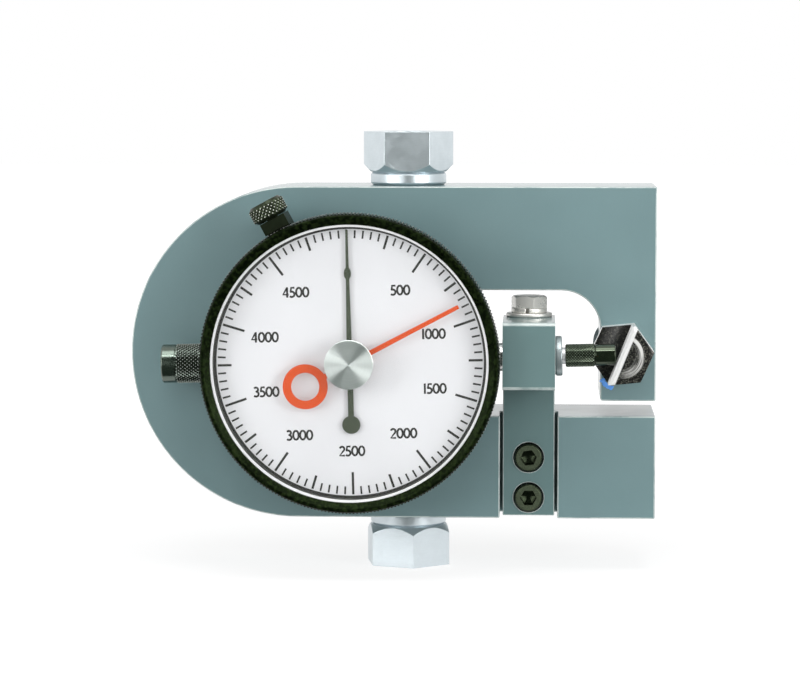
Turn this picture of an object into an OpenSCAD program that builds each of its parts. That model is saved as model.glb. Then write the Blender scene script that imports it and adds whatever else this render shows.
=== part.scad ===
// Analog dynamometer: a C-shaped spring frame whose deflection is read by a dial indicator.
// The frame is loaded through two threaded adapters on one vertical axis.
// A cam on the tooth of the upper arm pushes the indicator's spindle as the frame opens.

/* [Deflection frame] */
// Height of the frame over both arms
frame_h = 114.3; // [110:0.1:125]
// Distance from the load axis to the outer face of the tooth
load_to_tooth_face = 85.7; // [84:0.1:96]
// Thickness from front to back
frame_t = 38.1; // [34:0.1:44]
// Distance from the closed end to the load axis
load_to_end = 94.9; // [90:0.1:98]
// Radius of the inner corner beside the tooth
corner_r = 13.5; // [4:0.5:14]
// Width of the tooth under the upper arm
tooth_w = 19.1; // [18:0.1:20]
// Gap between the tooth and the lower arm
tooth_gap = 5.35; // [5:0.05:7]
// Bevel at the tooth's lower inner edge
tooth_bevel = 0.6; // [0.4:0.1:2]

/* [Load adapters] */
// Width across the flats of the hexagon
adapter_af = 27; // [26:0.1:30]
// Height of the hexagon
adapter_hex_h = 13.9; // [12:0.1:20]
// Depth of the turned cone on the hexagon's inner corners
adapter_cone_h = 2.9; // [1.4:0.1:3.4]
// Diameter of the turned collar
adapter_collar_d = 26.4; // [24:0.1:27]
// Height of the turned collar
adapter_collar_h = 4.6; // [3:0.1:6]
// Width of the rounding at both ends of the collar
adapter_collar_round = 0.9; // [0.4:0.1:1.4]
// Diameter of the stud that screws into the arm
adapter_stud_d = 19.05; // [17:0.05:20]
// Solid metal between the stud and the opening
adapter_stud_gap = 10.1; // [8:0.1:14]
// Minor diameter of the tapped load bore
load_bore_d = 14.36; // [13:0.01:15]
// Depth of the tapped load bore
load_bore_depth = 22.2; // [20:0.1:26]
// Turn of the upper hexagon about the load axis
upper_hex_turn = 0; // [0:1:59]
// Turn of the lower hexagon about the load axis
lower_hex_turn = 39; // [0:1:59]

/* [Bracket post] */
// Distance between the post and the tooth
post_to_tooth = 15.5; // [15.2:0.1:17]
// Width of the post and of the clamp block
post_w = 17.8; // [17.4:0.1:18]
// Thickness of the post from front to back
post_t = 14; // [13:0.1:15]
// Depth of the post's face behind the frame's face
post_recess = 1.2; // [0.5:0.1:2]
// Distance of the post's foot above the frame's lower face
post_foot_gap = 0.8; // [0.4:0.1:1.5]
// Gap on each side of the post in its slot
slot_side_gap = 1; // [0.5:0.1:1.5]
// Height of the lower screw above the post's foot
low_screw_rise = 6.3; // [6:0.1:7]
// Distance between the two screws
screw_pitch = 13.9; // [12:0.1:15]
// Diameter of the cap screws
cap_screw_d = 6.35; // [6:0.05:6.5]
// Length of the cap screws under the head
cap_screw_len = 22.2; // [19:0.1:25]
// Diameter of the cap screws' heads
cap_head_d = 9.53; // [9:0.01:10]
// Height of the cap screws' heads
cap_head_h = 6.35; // [6:0.05:7]
// Width across the flats of the screws' sockets
cap_socket_af = 4.76; // [4.5:0.01:5]
// Depth of the screws' sockets
cap_socket_depth = 3.2; // [2.5:0.1:3.6]
// Bevel round the screws' heads
cap_head_bevel = 0.4; // [0.2:0.05:0.6]
// Diameter of the counterbores
counterbore_d = 10.4; // [10.2:0.1:11]
// Depth of the counterbores
counterbore_depth = 4.9; // [4:0.1:6]

/* [Stem clamp] */
// Height of the block above the spindle's axis
block_above = 12.15; // [11:0.05:13]
// Height of the block below the spindle's axis
block_below = 10.75; // [10:0.05:12]
// Reach of the block in front of the frame's face
block_reach = 20; // [19.5:0.1:21]
// Radius of the block's long edges
block_edge_r = 1.3; // [0.5:0.1:2]
// Width of the slit behind the stem's bore
slit_w = 1.2; // [0.8:0.1:1.6]
// Diameter of the clamp bolt
bolt_d = 6.35; // [6:0.05:6.5]
// Length of the clamp bolt under the head
bolt_len = 38.1; // [36:0.1:39]
// Width across the flats of the bolt's head
bolt_af = 11.11; // [11:0.01:11.2]
// Height of the bolt's head
bolt_head_h = 4.1; // [3.8:0.1:4.5]
// Depth of the cone on the bolt head's corners
bolt_cone_h = 0.7; // [0.4:0.1:1]
// Turn of the bolt's head
bolt_turn = 44; // [0:1:59]
// Gap between the bolt's head and the upper arm
bolt_room = 2.3; // [1.5:0.1:4]
// Diameter of the split lock washer
lock_washer_d = 12.4; // [12:0.1:13]
// Thickness of the split lock washer
lock_washer_t = 1.75; // [1.5:0.05:1.9]
// Width of the split in the lock washer
lock_washer_split = 1; // [0.5:0.1:1.5]
// Turn of the split from the washer's right
lock_washer_turn = -96; // [-180:1:180]
// Diameter of the flat washer
flat_washer_d = 15.9; // [15:0.1:16.5]
// Thickness of the flat washer
flat_washer_t = 1.35; // [1.2:0.05:1.6]
// Diameter of the washers' holes
washer_hole_d = 7; // [6.8:0.1:7.4]
// Outer diameter of the stem's bushing
bushing_d = 12.7; // [12.2:0.1:13]
// Diameter of the bushing's flange
bushing_flange_d = 13.6; // [13.2:0.1:15]
// Thickness of the bushing's flange
bushing_flange_t = 2.4; // [2:0.1:3]

// Tilt of the indicator in its clamp, which lifts its stem's end
indicator_tilt = 1.4; // [0:0.1:2]

/* [Cam] */
// Distance of the cam's axis from the outer face of the tooth
cam_inset = 12.1; // [11.2:0.1:12.6]
// Height of the cam's axis above the spindle's axis
cam_z = 0.6; // [-1:0.1:1]
// Turn of the cam's hexagon about its stud
cam_turn = 5.5; // [0:0.5:10]
// Width across the flats of the cam's hexagon
cam_af = 19.05; // [18.8:0.05:19.3]
// Height of the cam's full half
cam_h = 15.5; // [14.8:0.1:16.5]
// Height of the milled floor
cam_floor_h = 5.5; // [4:0.1:6.5]
// Slant of the working wall from the vertical
cam_slant = 22; // [18:1:26]
// Width of the bevel along the top of the working wall
cam_bevel = 1; // [0.5:0.1:1.5]
// Bevel round the hexagon's front corners
cam_corner_cone = 0.8; // [0.3:0.1:1.2]
// Gap between the contact point and the working wall
touch_gap = 0.05; // [0.03:0.01:0.2]
// Diameter of the cam's stud
cam_stud_d = 9.525; // [9:0.025:10]
// Length of the stud behind the tooth
cam_stud_out = 10.5; // [10:0.1:12]
// Width across the flats of the lock nut
cam_nut_af = 14.29; // [13.5:0.01:15]
// Height of the lock nut
cam_nut_h = 8.4; // [6:0.1:9]
// Diameter of the washer behind the tooth
cam_washer_d = 17.5; // [17:0.1:18]
// Thickness of the washer behind the tooth
cam_washer_t = 1.6; // [1.2:0.1:2]

/* [Indicator case] */
// Gap between the bezel and the clamp block
dial_gap = 0.6; // [0.5:0.1:1.5]
// Distance of the spindle's axis in front of the frame's face
axis_out = 11; // [10.8:0.1:11.2]
// Distance of the back cover in front of the frame's face
cover_out = 1.5; // [1:0.1:2]
// Thickness of the back cover
cover_t = 2; // [1.5:0.1:2.2]
// Diameter of the case
case_d = 94; // [92:0.1:94.2]
// Thickness of the case's wall
case_wall = 3; // [2.6:0.1:3.2]
// Thickness of the case's inner web
web_t = 1.2; // [1:0.1:1.3]
// Reach of the front rim beyond the case, under the bezel
rim_reach = 1.3; // [1:0.1:1.5]
// Thickness of the front rim
rim_t = 2.6; // [2:0.1:2.7]
// Number of back cover screws
cover_screw_count = 4; // [3:1:8]
// Diameter of the back cover screws
cover_screw_d = 1.6; // [1.2:0.1:2]
// Length of the back cover screws
cover_screw_len = 6; // [5:0.1:8]
// Diameter of the back cover screws' heads
cover_head_d = 2.8; // [2.2:0.1:2.9]
// Diameter of the stem
stem_d = 9.525; // [9:0.025:9.6]
// Diameter of the stem's shoulder
stem_shoulder_d = 10.6; // [10:0.1:10.8]
// Length of the stem's shoulder
stem_shoulder_len = 2.4; // [1:0.1:3]
// Diameter of the rear bushing's thread
rear_bushing_d = 8.7; // [8:0.1:9]
// Reach of the rear bushing beyond the case
rear_bushing_out = 9; // [8:0.1:10]

/* [Bezel and dial] */
// Thickness of the bezel's wall round the front rim
bezel_wall = 2.45; // [2:0.05:2.6]
// Depth of the bezel's skirt behind the dial plate
skirt_depth = 3.55; // [3.4:0.05:3.7]
// Height of the bezel in front of the dial plate's face
bezel_rise = 7.35; // [7:0.05:8]
// Width of the bezel round its front opening
bezel_lip = 3.9; // [3.6:0.1:4.3]
// Depth of the slope inside the front opening
bezel_slope_h = 1; // [0.5:0.1:1.4]
// Width of the slope inside the front opening
bezel_slope_w = 1.1; // [0.5:0.1:1.4]
// Bevel round the front of the bezel
bezel_bevel = 0.9; // [0.4:0.1:1.2]
// Thickness of the dial plate
dial_t = 0.7; // [0.5:0.05:0.75]
// Diameter of the hole in the dial plate
dial_hole_d = 4.8; // [4:0.1:6]
// Thickness of the crystal
crystal_t = 1.8; // [1.5:0.1:2]
// Radial width of the spacer under the crystal
spacer_w = 0.85; // [0.6:0.05:1.2]
// Radial width of the retaining ring behind the rim
retaining_w = 1.15; // [0.9:0.05:1.2]
// Thickness of the retaining ring
retaining_t = 0.6; // [0.4:0.05:0.65]

/* [Hands and knob] */
// Length of the pointer from the centre
pointer_len = 45; // [40:0.1:45.4]
// Width of the pointer's tip
pointer_tip_w = 0.7; // [0.4:0.1:1]
// Width of the pointer at the hub
pointer_w = 1.9; // [1.4:0.1:2.4]
// Thickness of the pointer
pointer_t = 0.4; // [0.3:0.05:0.5]
// Diameter of the pointer's hub
pointer_hub_d = 5.6; // [5:0.1:7]
// Distance of the bead on the pointer from the centre
bead_r = 30.2; // [25:0.1:35]
// Length of the bead
bead_len = 4.2; // [3:0.1:5]
// Width of the bead
bead_w = 2.4; // [2:0.1:3]
// Distance of the counterweight ball from the centre
tail_r = 20.9; // [18:0.1:24]
// Diameter of the counterweight ball
tail_d = 6.1; // [5:0.1:7]
// Length of the maximum hand from the centre
max_len = 41.4; // [36:0.1:44]
// Width of the maximum hand at its tip
max_tip_w = 1.35; // [1:0.05:2]
// Width of the maximum hand at its hub
max_w = 1.8; // [1.5:0.05:2.5]
// Distance of the maximum hand's ring from the centre
max_ring_r = 16.8; // [14:0.1:18]
// Outer diameter of the maximum hand's ring
max_ring_d = 15.2; // [13:0.1:16]
// Inner diameter of the maximum hand's ring
max_ring_hole_d = 9.5; // [8:0.1:11]
// Resting angle of the maximum hand above the horizontal
max_angle = 26.4; // [20:1:40]
// Diameter of the reset knob
knob_d = 16.4; // [14:0.1:18]
// Height of the reset knob
knob_h = 2.6; // [2:0.1:4]
// Bevel round the reset knob
knob_bevel = 0.5; // [0.3:0.05:0.8]
// Diameter of the reset knob's shaft
knob_shaft_d = 3; // [2.6:0.1:3.4]

/* [Bezel lock and dust cap] */
// Angle of the bezel lock above the horizontal
lock_angle = 116.9; // [100:0.1:140]
// Width of the clamp lug
lug_w = 9; // [7:0.1:11]
// Reach of the clamp lug beyond the bezel
lug_reach = 4; // [3.5:0.1:5]
// Diameter of the thumb screw's head
thumb_d = 12.6; // [11:0.1:13]
// Length of the thumb screw's head
thumb_len = 6.2; // [5:0.1:8]
// Bevel round the thumb screw's head
thumb_bevel = 1; // [0.5:0.1:1.5]
// Diameter of the thumb screw's thread
thumb_screw_d = 3.5; // [3:0.1:4]
// Diameter of the dust cap's knurled band
cap_d = 13.5; // [13:0.1:14]
// Diameter of the dust cap's plain band
cap_plain_d = 13.1; // [12.6:0.1:13.4]
// Length of the plain band
cap_plain_len = 4.6; // [4:0.1:6]
// Reach of the dust cap beyond the bezel
cap_out = 13.9; // [13:0.1:16]
// Thickness of the dust cap's end wall
cap_end_t = 2; // [1.5:0.1:2.5]

/* [Spindle and train] */
// Diameter of the spindle
spindle_d = 4.7; // [4.5:0.05:4.72]
// Length of the contact point's knurled grip
grip_len = 10; // [8:0.1:12]
// Diameter of the contact point's knurled grip
grip_d = 7.9; // [7.5:0.1:8.2]
// Length of the contact point's smooth end
tip_len = 7.1; // [6:0.1:8]
// Diameter of the contact point's smooth end
tip_d = 7.25; // [7:0.05:7.4]
// Bevel of the contact point's end
tip_bevel = 0.4; // [0.2:0.05:0.6]
// Diameter of the short neck between the bushing and the grip
neck_d = 5.5; // [5:0.1:6]
// Length of the short neck
neck_len = 1.1; // [0.8:0.1:1.5]
// Travel of the spindle
travel = 1; // [0.8:0.05:1.05]
// Spindle travel for each turn of the pointer
travel_per_turn = 1; // [1:1:1]
// Teeth of the rack's pinion
rack_pinion_teeth = 16; // [16:1:16]
// Teeth of the rack's gear and of the take-up gear
gear_teeth = 100; // [100:1:100]
// Teeth of the pinion on the pointer's arbor
centre_teeth = 10; // [10:1:10]
// Size of the gear teeth, as pitch diameter over number of teeth
tooth_size = 0.2; // [0.2:0.01:0.2]
// Diameter of the arbors
arbor_d = 1.2; // [1:0.05:1.3]
// Wire diameter of the return spring
spring_wire_d = 0.5; // [0.4:0.05:0.55]
// Turns of the return spring
spring_turns = 9; // [6:1:12]

/* [Hidden] */
$fn = 96;

// Overrun of every cut past the face that it opens
cut = 1;
// Gap between a thread and its hole
thread_gap = 0.05;
// Gap between a turning or sliding piece and its bearing
run_gap = 0.05;
// Gap between faces that pass each other
face_gap = 0.1;
// Wider gap between faces that pass each other inside the case
inner_gap = 0.3;

// Heights and places that follow from the frame
front_y = -frame_t / 2;
stack_h = adapter_collar_h + adapter_hex_h;
center_z = stack_h + frame_h / 2;
block_h = block_above + block_below;
bolt_stack = flat_washer_t + lock_washer_t + bolt_head_h;
opening_h = 2 * (block_above + bolt_stack + bolt_room);
arm_t = (frame_h - opening_h) / 2;
adapter_stud_len = arm_t - adapter_stud_gap;
end_x = frame_h / 2 - load_to_end;
right_x = load_to_tooth_face;
tooth_x = right_x - tooth_w;
tooth_low = tooth_gap - opening_h / 2;
cam_x = right_x - cam_inset;

// Thicknesses of the thin inner pieces, and the lifts that keep the hands apart
skirt_lift = 0.85;
plate_t = 0.9;
gear_t = 0.6;
pointer_lift = 0.84;
pointer_hub_rise = 0.6;
max_lift = 3.1;
max_t = 0.4;
washer_t = 0.35;

// Depths in front of the frame's face, from back to front
cover_front = cover_out + cover_t;
stem_top = axis_out + stem_d / 2;
skirt_back = stem_top + skirt_lift;
dial_face = skirt_back + skirt_depth + dial_t;
dial_back = dial_face - dial_t;
rim_front = dial_back - face_gap;
rim_back = rim_front - rim_t;
retaining_front = rim_back - face_gap;
bezel_front = dial_face + bezel_rise;
crystal_front = bezel_front - bezel_slope_h;
crystal_back = crystal_front - crystal_t;
web_front = rim_back - inner_gap;
web_back = web_front - web_t;
spindle_front = axis_out + spindle_d / 2;
plate_back = spindle_front + inner_gap;
plate_front = plate_back + plate_t;
gear_back = plate_front + inner_gap;
pointer_back = dial_face + pointer_lift;
max_back = dial_face + max_lift;

// Radii of the indicator
case_r = case_d / 2;
case_inner_r = case_r - case_wall;
rim_r = case_r + rim_reach;
skirt_bore_r = rim_r + run_gap;
bezel_r = skirt_bore_r + bezel_wall;
window_r = bezel_r - bezel_lip;

// Places of the post, the block and the dial, which follow from the tooth
block_right = tooth_x - post_to_tooth;
post_x = block_right - post_w / 2;
dial_x = block_right - post_w - dial_gap - bezel_r;
block_back = post_recess + post_t;
screw_seat = post_recess + counterbore_depth;
post_top = -block_below;
post_low = post_foot_gap - frame_h / 2;
block_top = block_above;
slot_w = post_w + 2 * slot_side_gap;
bolt_out = -post_recess - post_t / 2;

// Places along the spindle, from the bushing to the cam's wall
stem_right = block_right + bushing_flange_t;
grip_x = stem_right + neck_len;
tip_x = grip_x + grip_len;
tip_end = tip_x + tip_len;
flange_back = block_right + bushing_flange_d / 2 * tan(indicator_tilt) + post_w / 2 * (1 / cos(indicator_tilt) - 1);

// Corner of the tilted contact point that is nearest to the cam's working wall
tip_corner = tip_d / 2 - tip_bevel;
touch_x = post_x + (tip_end - post_x) * cos(indicator_tilt) + tip_corner * sin(indicator_tilt);
touch_z = (tip_end - post_x) * sin(indicator_tilt) - tip_corner * cos(indicator_tilt);
wall_x = touch_x - touch_z * tan(cam_slant) + touch_gap / cos(cam_slant);

// The gear train: the rack turns its pinion, whose gear drives the pointer's arbor
rack_pitch = travel_per_turn * gear_teeth / centre_teeth / rack_pinion_teeth;
rack_tooth_size = rack_pitch / PI;
rack_pinion_r = rack_pinion_teeth * rack_tooth_size / 2;
rack_flat = 0.25;
rack_line = spindle_d / 2 - rack_flat - rack_tooth_size;
gear_distance = tooth_size * (gear_teeth + centre_teeth) / 2;
rack_axis_z = -rack_line - rack_pinion_r;
rack_axis_dx = sqrt(gear_distance * gear_distance - rack_axis_z * rack_axis_z);
mesh_angle = atan2(-rack_axis_z, -rack_axis_dx);
rack_pinion_len = 3;
rack_tooth_count = 15;
rack_lead = 6;

// Carries its children from the frame's front face: x right, y up, z towards the viewer
module facing(x = 0, up = 0, out = 0) {
    translate([x, front_y - out, center_z + up])
        rotate([90, 0, 0]) children();
}

// Carries its children along the spindle's axis, with their z towards the right
module on_spindle(x) {
    translate([x, front_y - axis_out, center_z])
        rotate([0, 90, 0]) children();
}

// Tilts the indicator in its clamp, about the middle of the block's bore
module tilted() {
    translate([post_x, 0, center_z]) rotate([0, -indicator_tilt, 0])
        translate([-post_x, 0, -center_z]) children();
}

// Ring between two radii
module ring(outer_r, inner_r, h) {
    difference() {
        cylinder(r = outer_r, h = h);
        translate([0, 0, -cut]) cylinder(r = inner_r, h = h + 2 * cut);
    }
}

// Turned piece by its outline of radius and height, from its lower end
module turned(outline) {
    last = len(outline) - 1;
    rotate_extrude() polygon(concat([[0, outline[0][1]]], outline, [[0, outline[last][1]]]));
}

// Hexagonal prism by its width across the flats
module hex_prism(af, h) {
    cylinder(d = af / cos(30), h = h, $fn = 6);
}

// Hexagonal prism whose corners are turned to a cone at its upper end
cone_lap_share = 0.25;
adapter_lap_share = 0.1;
module coned_hex(af, h, cone_h, lap_share = cone_lap_share) {
    outer_r = af / 2 / cos(30);
    lap = lap_share * cone_h;
    intersection() {
        hex_prism(af, h);
        turned([[outer_r + lap, -cut], [outer_r + lap, h - cone_h], [af / 2 - lap, h]]);
    }
}

// Rectangle with round corners, from its lower left corner
module round_rect(w, h, r) {
    translate([r, 0]) square([w - 2 * r, h]);
    translate([0, r]) square([w, h - 2 * r]);
    for (x = [r, w - r], y = [r, h - r]) translate([x, y]) circle(r = r);
}

// Outline of a gear, with plain flanks and the backlash that small gears have
root_share = 0.3;
pitch_share = 0.2;
tip_share = 0.09;
head_share = 0.9;
foot_share = 1.15;
module gear_outline(teeth, size) {
    pitch_r = teeth * size / 2;
    step = 360 / teeth;
    shape = [
        [-root_share, pitch_r - foot_share * size],
        [-pitch_share, pitch_r],
        [-tip_share, pitch_r + head_share * size],
        [tip_share, pitch_r + head_share * size],
        [pitch_share, pitch_r],
        [root_share, pitch_r - foot_share * size]
    ];
    polygon([
        for (i = [0 : teeth - 1], p = shape)
            p[1] * [cos((i + p[0]) * step), sin((i + p[0]) * step)]
    ]);
}

// C-shaped spring body with the post's slot and all its bores
module opening_outline() {
    r = opening_h / 2;
    translate([end_x, 0]) circle(r = r);
    translate([end_x, -r]) square([tooth_x - end_x, opening_h - corner_r]);
    translate([end_x, -r]) square([tooth_x - end_x - corner_r, opening_h]);
    translate([tooth_x - corner_r, r - corner_r]) circle(r = corner_r);
    translate([tooth_x - cut, -r]) square([tooth_w + 2 * cut, tooth_gap]);
    polygon([
        [tooth_x - cut, tooth_low],
        [tooth_x - cut, tooth_low + tooth_bevel + cut],
        [tooth_x + tooth_bevel, tooth_low]
    ]);
}
module frame_outline() {
    difference() {
        union() {
            translate([end_x, 0]) circle(r = frame_h / 2);
            translate([end_x, -frame_h / 2]) square([right_x - end_x, frame_h]);
        }
        opening_outline();
    }
}
module deflection_frame() color([0.44, 0.55, 0.56]) difference() {
    facing(out = -frame_t) linear_extrude(frame_t) frame_outline();
    stud_r = adapter_stud_d / 2 + thread_gap;
    stud_room = adapter_stud_len + cut;
    translate([0, 0, stack_h - cut]) cylinder(r = stud_r, h = stud_room + cut);
    translate([0, 0, stack_h + frame_h - stud_room]) cylinder(r = stud_r, h = stud_room + cut);
    facing(post_x - slot_w / 2, -frame_h / 2 - cut, -block_back)
        cube([slot_w, arm_t + 2 * cut, block_back + cut]);
    for (up = screw_heights()) facing(post_x, up, -screw_seat - cap_screw_len - cut)
        cylinder(d = cap_screw_d + 2 * thread_gap, h = cap_screw_len);
    facing(cam_x, cam_z, -frame_t - cut)
        cylinder(d = cam_stud_d + 2 * run_gap, h = frame_t + 2 * cut);
}

// Heights of the bracket screws above the frame's centre line
function screw_heights() = [for (i = [0, 1]) post_low + low_screw_rise + i * screw_pitch];

// Adapter drawn with its mouth down at the origin
module load_adapter() {
    collar_r = adapter_collar_d / 2;
    end_r = collar_r - adapter_collar_round;
    difference() {
        union() {
            coned_hex(adapter_af, adapter_hex_h, adapter_cone_h, adapter_lap_share);
            translate([0, 0, adapter_hex_h]) turned([
                [end_r, 0],
                [collar_r, adapter_collar_round],
                [collar_r, adapter_collar_h - adapter_collar_round],
                [end_r, adapter_collar_h]
            ]);
            translate([0, 0, adapter_hex_h / 2])
                cylinder(d = adapter_stud_d, h = adapter_hex_h / 2 + adapter_collar_h + adapter_stud_len);
        }
        translate([0, 0, -cut]) cylinder(d = load_bore_d, h = load_bore_depth + cut);
    }
}
module lower_load_adapter() color([0.75, 0.76, 0.78]) rotate([0, 0, lower_hex_turn]) load_adapter();
module upper_load_adapter() color([0.75, 0.76, 0.78])
    translate([0, 0, 2 * center_z]) rotate([180, 0, 0]) rotate([0, 0, upper_hex_turn]) load_adapter();

// Upright that stands in the frame's slot
module bracket_post() color([0.4, 0.5, 0.5]) difference() {
    facing(post_x - post_w / 2, post_low, -block_back) cube([post_w, post_top - post_low, post_t]);
    for (up = screw_heights()) {
        facing(post_x, up, -block_back - cut)
            cylinder(d = cap_screw_d + 4 * thread_gap, h = post_t + 2 * cut);
        facing(post_x, up, -screw_seat)
            cylinder(d = counterbore_d, h = counterbore_depth + cut);
    }
    translate([post_x, front_y - bolt_out, center_z + block_bolt_low() - cut])
        cylinder(d = bolt_d + 2 * thread_gap, h = post_top - block_bolt_low() + 2 * cut);
}
function bolt_seat() = block_top + flat_washer_t + lock_washer_t;
function block_bolt_low() = bolt_seat() - bolt_len;

// Socket head cap screw with its head up and its seat at the origin
module cap_screw() {
    head_r = cap_head_d / 2;
    difference() {
        turned([
            [cap_screw_d / 2, -cap_screw_len],
            [cap_screw_d / 2, 0],
            [head_r, 0],
            [head_r, cap_head_h - cap_head_bevel],
            [head_r - cap_head_bevel, cap_head_h]
        ]);
        translate([0, 0, cap_head_h - cap_socket_depth]) hex_prism(cap_socket_af, cap_socket_depth + cut);
    }
}
module bracket_screws() color([0.1, 0.1, 0.1])
    for (up = screw_heights()) facing(post_x, up, -screw_seat) cap_screw();

// Block that grips the stem's bushing, split behind the bore
module stem_clamp_block() color([0.45, 0.56, 0.56]) difference() {
    block_depth = block_reach + block_back;
    on_spindle(post_x - post_w / 2) linear_extrude(post_w)
        translate([-block_top, axis_out - block_reach]) round_rect(block_h, block_depth, block_edge_r);
    tilted() on_spindle(post_x - post_w / 2 - cut) {
        cylinder(d = bushing_d + 2 * run_gap, h = post_w + 2 * cut);
        translate([-slit_w / 2, 0, 0])
            cube([slit_w, axis_out + block_back + cut, post_w + 2 * cut]);
    }
    translate([post_x, front_y - bolt_out, center_z + post_top - cut])
        cylinder(d = washer_hole_d, h = block_h + 2 * cut);
}
module on_bolt(up) translate([post_x, front_y - bolt_out, center_z + up]) children();
module clamp_bolt() color([0.8, 0.8, 0.82]) on_bolt(bolt_seat()) {
    rotate([0, 0, bolt_turn]) coned_hex(bolt_af, bolt_head_h, bolt_cone_h);
    translate([0, 0, -bolt_len]) cylinder(d = bolt_d, h = bolt_len + bolt_head_h / 2);
}
module clamp_lock_washer() color([0.7, 0.7, 0.72]) on_bolt(block_top + flat_washer_t) difference() {
    ring(lock_washer_d / 2, washer_hole_d / 2, lock_washer_t);
    rotate([0, 0, lock_washer_turn]) translate([0, -lock_washer_split / 2, -cut])
        cube([lock_washer_d, lock_washer_split, lock_washer_t + 2 * cut]);
}
module clamp_flat_washer() color([0.7, 0.7, 0.72]) on_bolt(block_top)
    ring(flat_washer_d / 2, washer_hole_d / 2, flat_washer_t);
module stem_bushing() color([0.75, 0.75, 0.76]) difference() {
    union() {
        on_spindle(post_x - post_w / 2) cylinder(d = bushing_d, h = post_w + bushing_flange_t / 2);
        on_spindle(flange_back) cylinder(d = bushing_flange_d, h = stem_right - flange_back);
    }
    on_spindle(post_x - post_w) cylinder(d = stem_d + 2 * run_gap, h = 2 * post_w);
}

// Hexagon cam: its left side is milled to a floor that ends at the slanted working wall
module calibration_cam() color([0.8, 0.8, 0.8]) {
    difference() {
        facing(cam_x, cam_z) rotate([0, 0, cam_turn]) coned_hex(cam_af, cam_h, cam_corner_cone);
        facing(wall_x, 0, cam_floor_h) rotate([0, 0, -cam_slant])
            translate([-2 * cam_af, -cam_af, 0]) cube([2 * cam_af, 2 * cam_af, cam_h]);
        facing(wall_x, 0, cam_h - cam_bevel) rotate([0, 0, -cam_slant])
            rotate([90, 0, 0]) translate([0, 0, -cam_af]) linear_extrude(2 * cam_af)
                polygon([[-cut, -cut], [cam_bevel + cut, cam_bevel + cut], [-cut, cam_bevel + cut]]);
    }
    facing(cam_x, cam_z, -frame_t - cam_stud_out)
        cylinder(d = cam_stud_d, h = frame_t + cam_stud_out + cam_floor_h / 2);
}
module cam_lock_washer() color([0.7, 0.7, 0.72]) facing(cam_x, cam_z, -frame_t - cam_washer_t)
    ring(cam_washer_d / 2, cam_stud_d / 2 + run_gap, cam_washer_t);
module cam_lock_nut() color([0.7, 0.7, 0.72])
    facing(cam_x, cam_z, -frame_t - cam_washer_t - cam_nut_h) difference() {
        hex_prism(cam_nut_af, cam_nut_h);
        translate([0, 0, -cut]) cylinder(d = cam_stud_d + 2 * thread_gap, h = cam_nut_h + 2 * cut);
    }

// Carries its children to the dial's centre at a depth
module at_dial(out) facing(dial_x, 0, out) children();
module at_cover_screws(out) at_dial(out) for (i = [0 : cover_screw_count - 1])
    rotate([0, 0, (i + 1 / 2) * 360 / cover_screw_count])
        translate([case_r - case_wall / 2, 0, 0]) children();

// Cup that holds the movement, with the web that carries it
pillar_r = 2;
pillar_place_r = 26;
pillar_count = 4;
movement_screw_d = 1.6;
movement_head_d = 3;
movement_head_h = 1.1;
module at_pillars(out) at_dial(out) for (i = [0 : pillar_count - 1])
    rotate([0, 0, (i + 1 / 2) * 360 / pillar_count]) translate([pillar_place_r, 0, 0]) children();
module indicator_case() color([0.12, 0.13, 0.13]) difference() {
    union() {
        at_dial(cover_front) ring(case_r, case_inner_r, rim_front - cover_front);
        at_dial(rim_back) ring(rim_r, case_inner_r, rim_t);
        at_dial(web_back) cylinder(r = case_inner_r + cut, h = web_t);
    }
    on_spindle(dial_x) cylinder(d = stem_d + 2 * run_gap, h = case_r + cut);
    on_spindle(dial_x - case_r - cut) cylinder(d = rear_bushing_d + 2 * run_gap, h = case_r);
    at_dial(web_back - cut) cylinder(d = centre_front_d + 2 * run_gap, h = web_t + 2 * cut);
    at_gear_axis(1, web_back - cut) cylinder(d = arbor_d + 2 * run_gap, h = web_t + 2 * cut);
    at_gear_axis(-1, web_back - cut) cylinder(d = arbor_d + 2 * run_gap, h = web_t + 2 * cut);
    at_pillars(web_back - cut) cylinder(d = movement_screw_d + 2 * thread_gap, h = web_t + 2 * cut);
    at_cover_screws(cover_front - cut)
        cylinder(d = cover_screw_d + 2 * thread_gap, h = cover_screw_len + cut);
}
module case_back_cover() color([0.12, 0.13, 0.13]) difference() {
    at_dial(cover_out) cylinder(r = case_r, h = cover_t);
    at_cover_screws(cover_out - cut) {
        cylinder(d = cover_screw_d + 2 * thread_gap, h = cover_t + 2 * cut);
        cylinder(d1 = cover_head_d + 2 * cut, d2 = 0, h = cover_head_d / 2 + cut);
    }
}
module back_cover_screws() color([0.7, 0.7, 0.72]) at_cover_screws(cover_out) {
    cylinder(d1 = cover_head_d, d2 = 0, h = cover_head_d / 2);
    cylinder(d = cover_screw_d, h = cover_screw_len);
}
module indicator_stem() color([0.7, 0.7, 0.72]) difference() {
    union() {
        on_spindle(dial_x + case_inner_r) cylinder(d = stem_d, h = stem_right - dial_x - case_inner_r);
        on_spindle(dial_x + case_r) cylinder(d = stem_shoulder_d, h = stem_shoulder_len);
    }
    on_spindle(dial_x) cylinder(d = spindle_d + 2 * run_gap, h = stem_right - dial_x + cut);
    on_spindle(stem_right - travel - face_gap)
        cylinder(d = neck_d + 2 * run_gap, h = travel + face_gap + cut);
}
module spindle_rear_bushing() color([0.72, 0.6, 0.35]) difference() {
    on_spindle(dial_x - case_r - rear_bushing_out)
        cylinder(d = rear_bushing_d, h = rear_bushing_out + case_wall);
    on_spindle(dial_x - case_r - rear_bushing_out - cut)
        cylinder(d = spindle_d + 2 * run_gap, h = rear_bushing_out + case_wall + 2 * cut);
}

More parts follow.
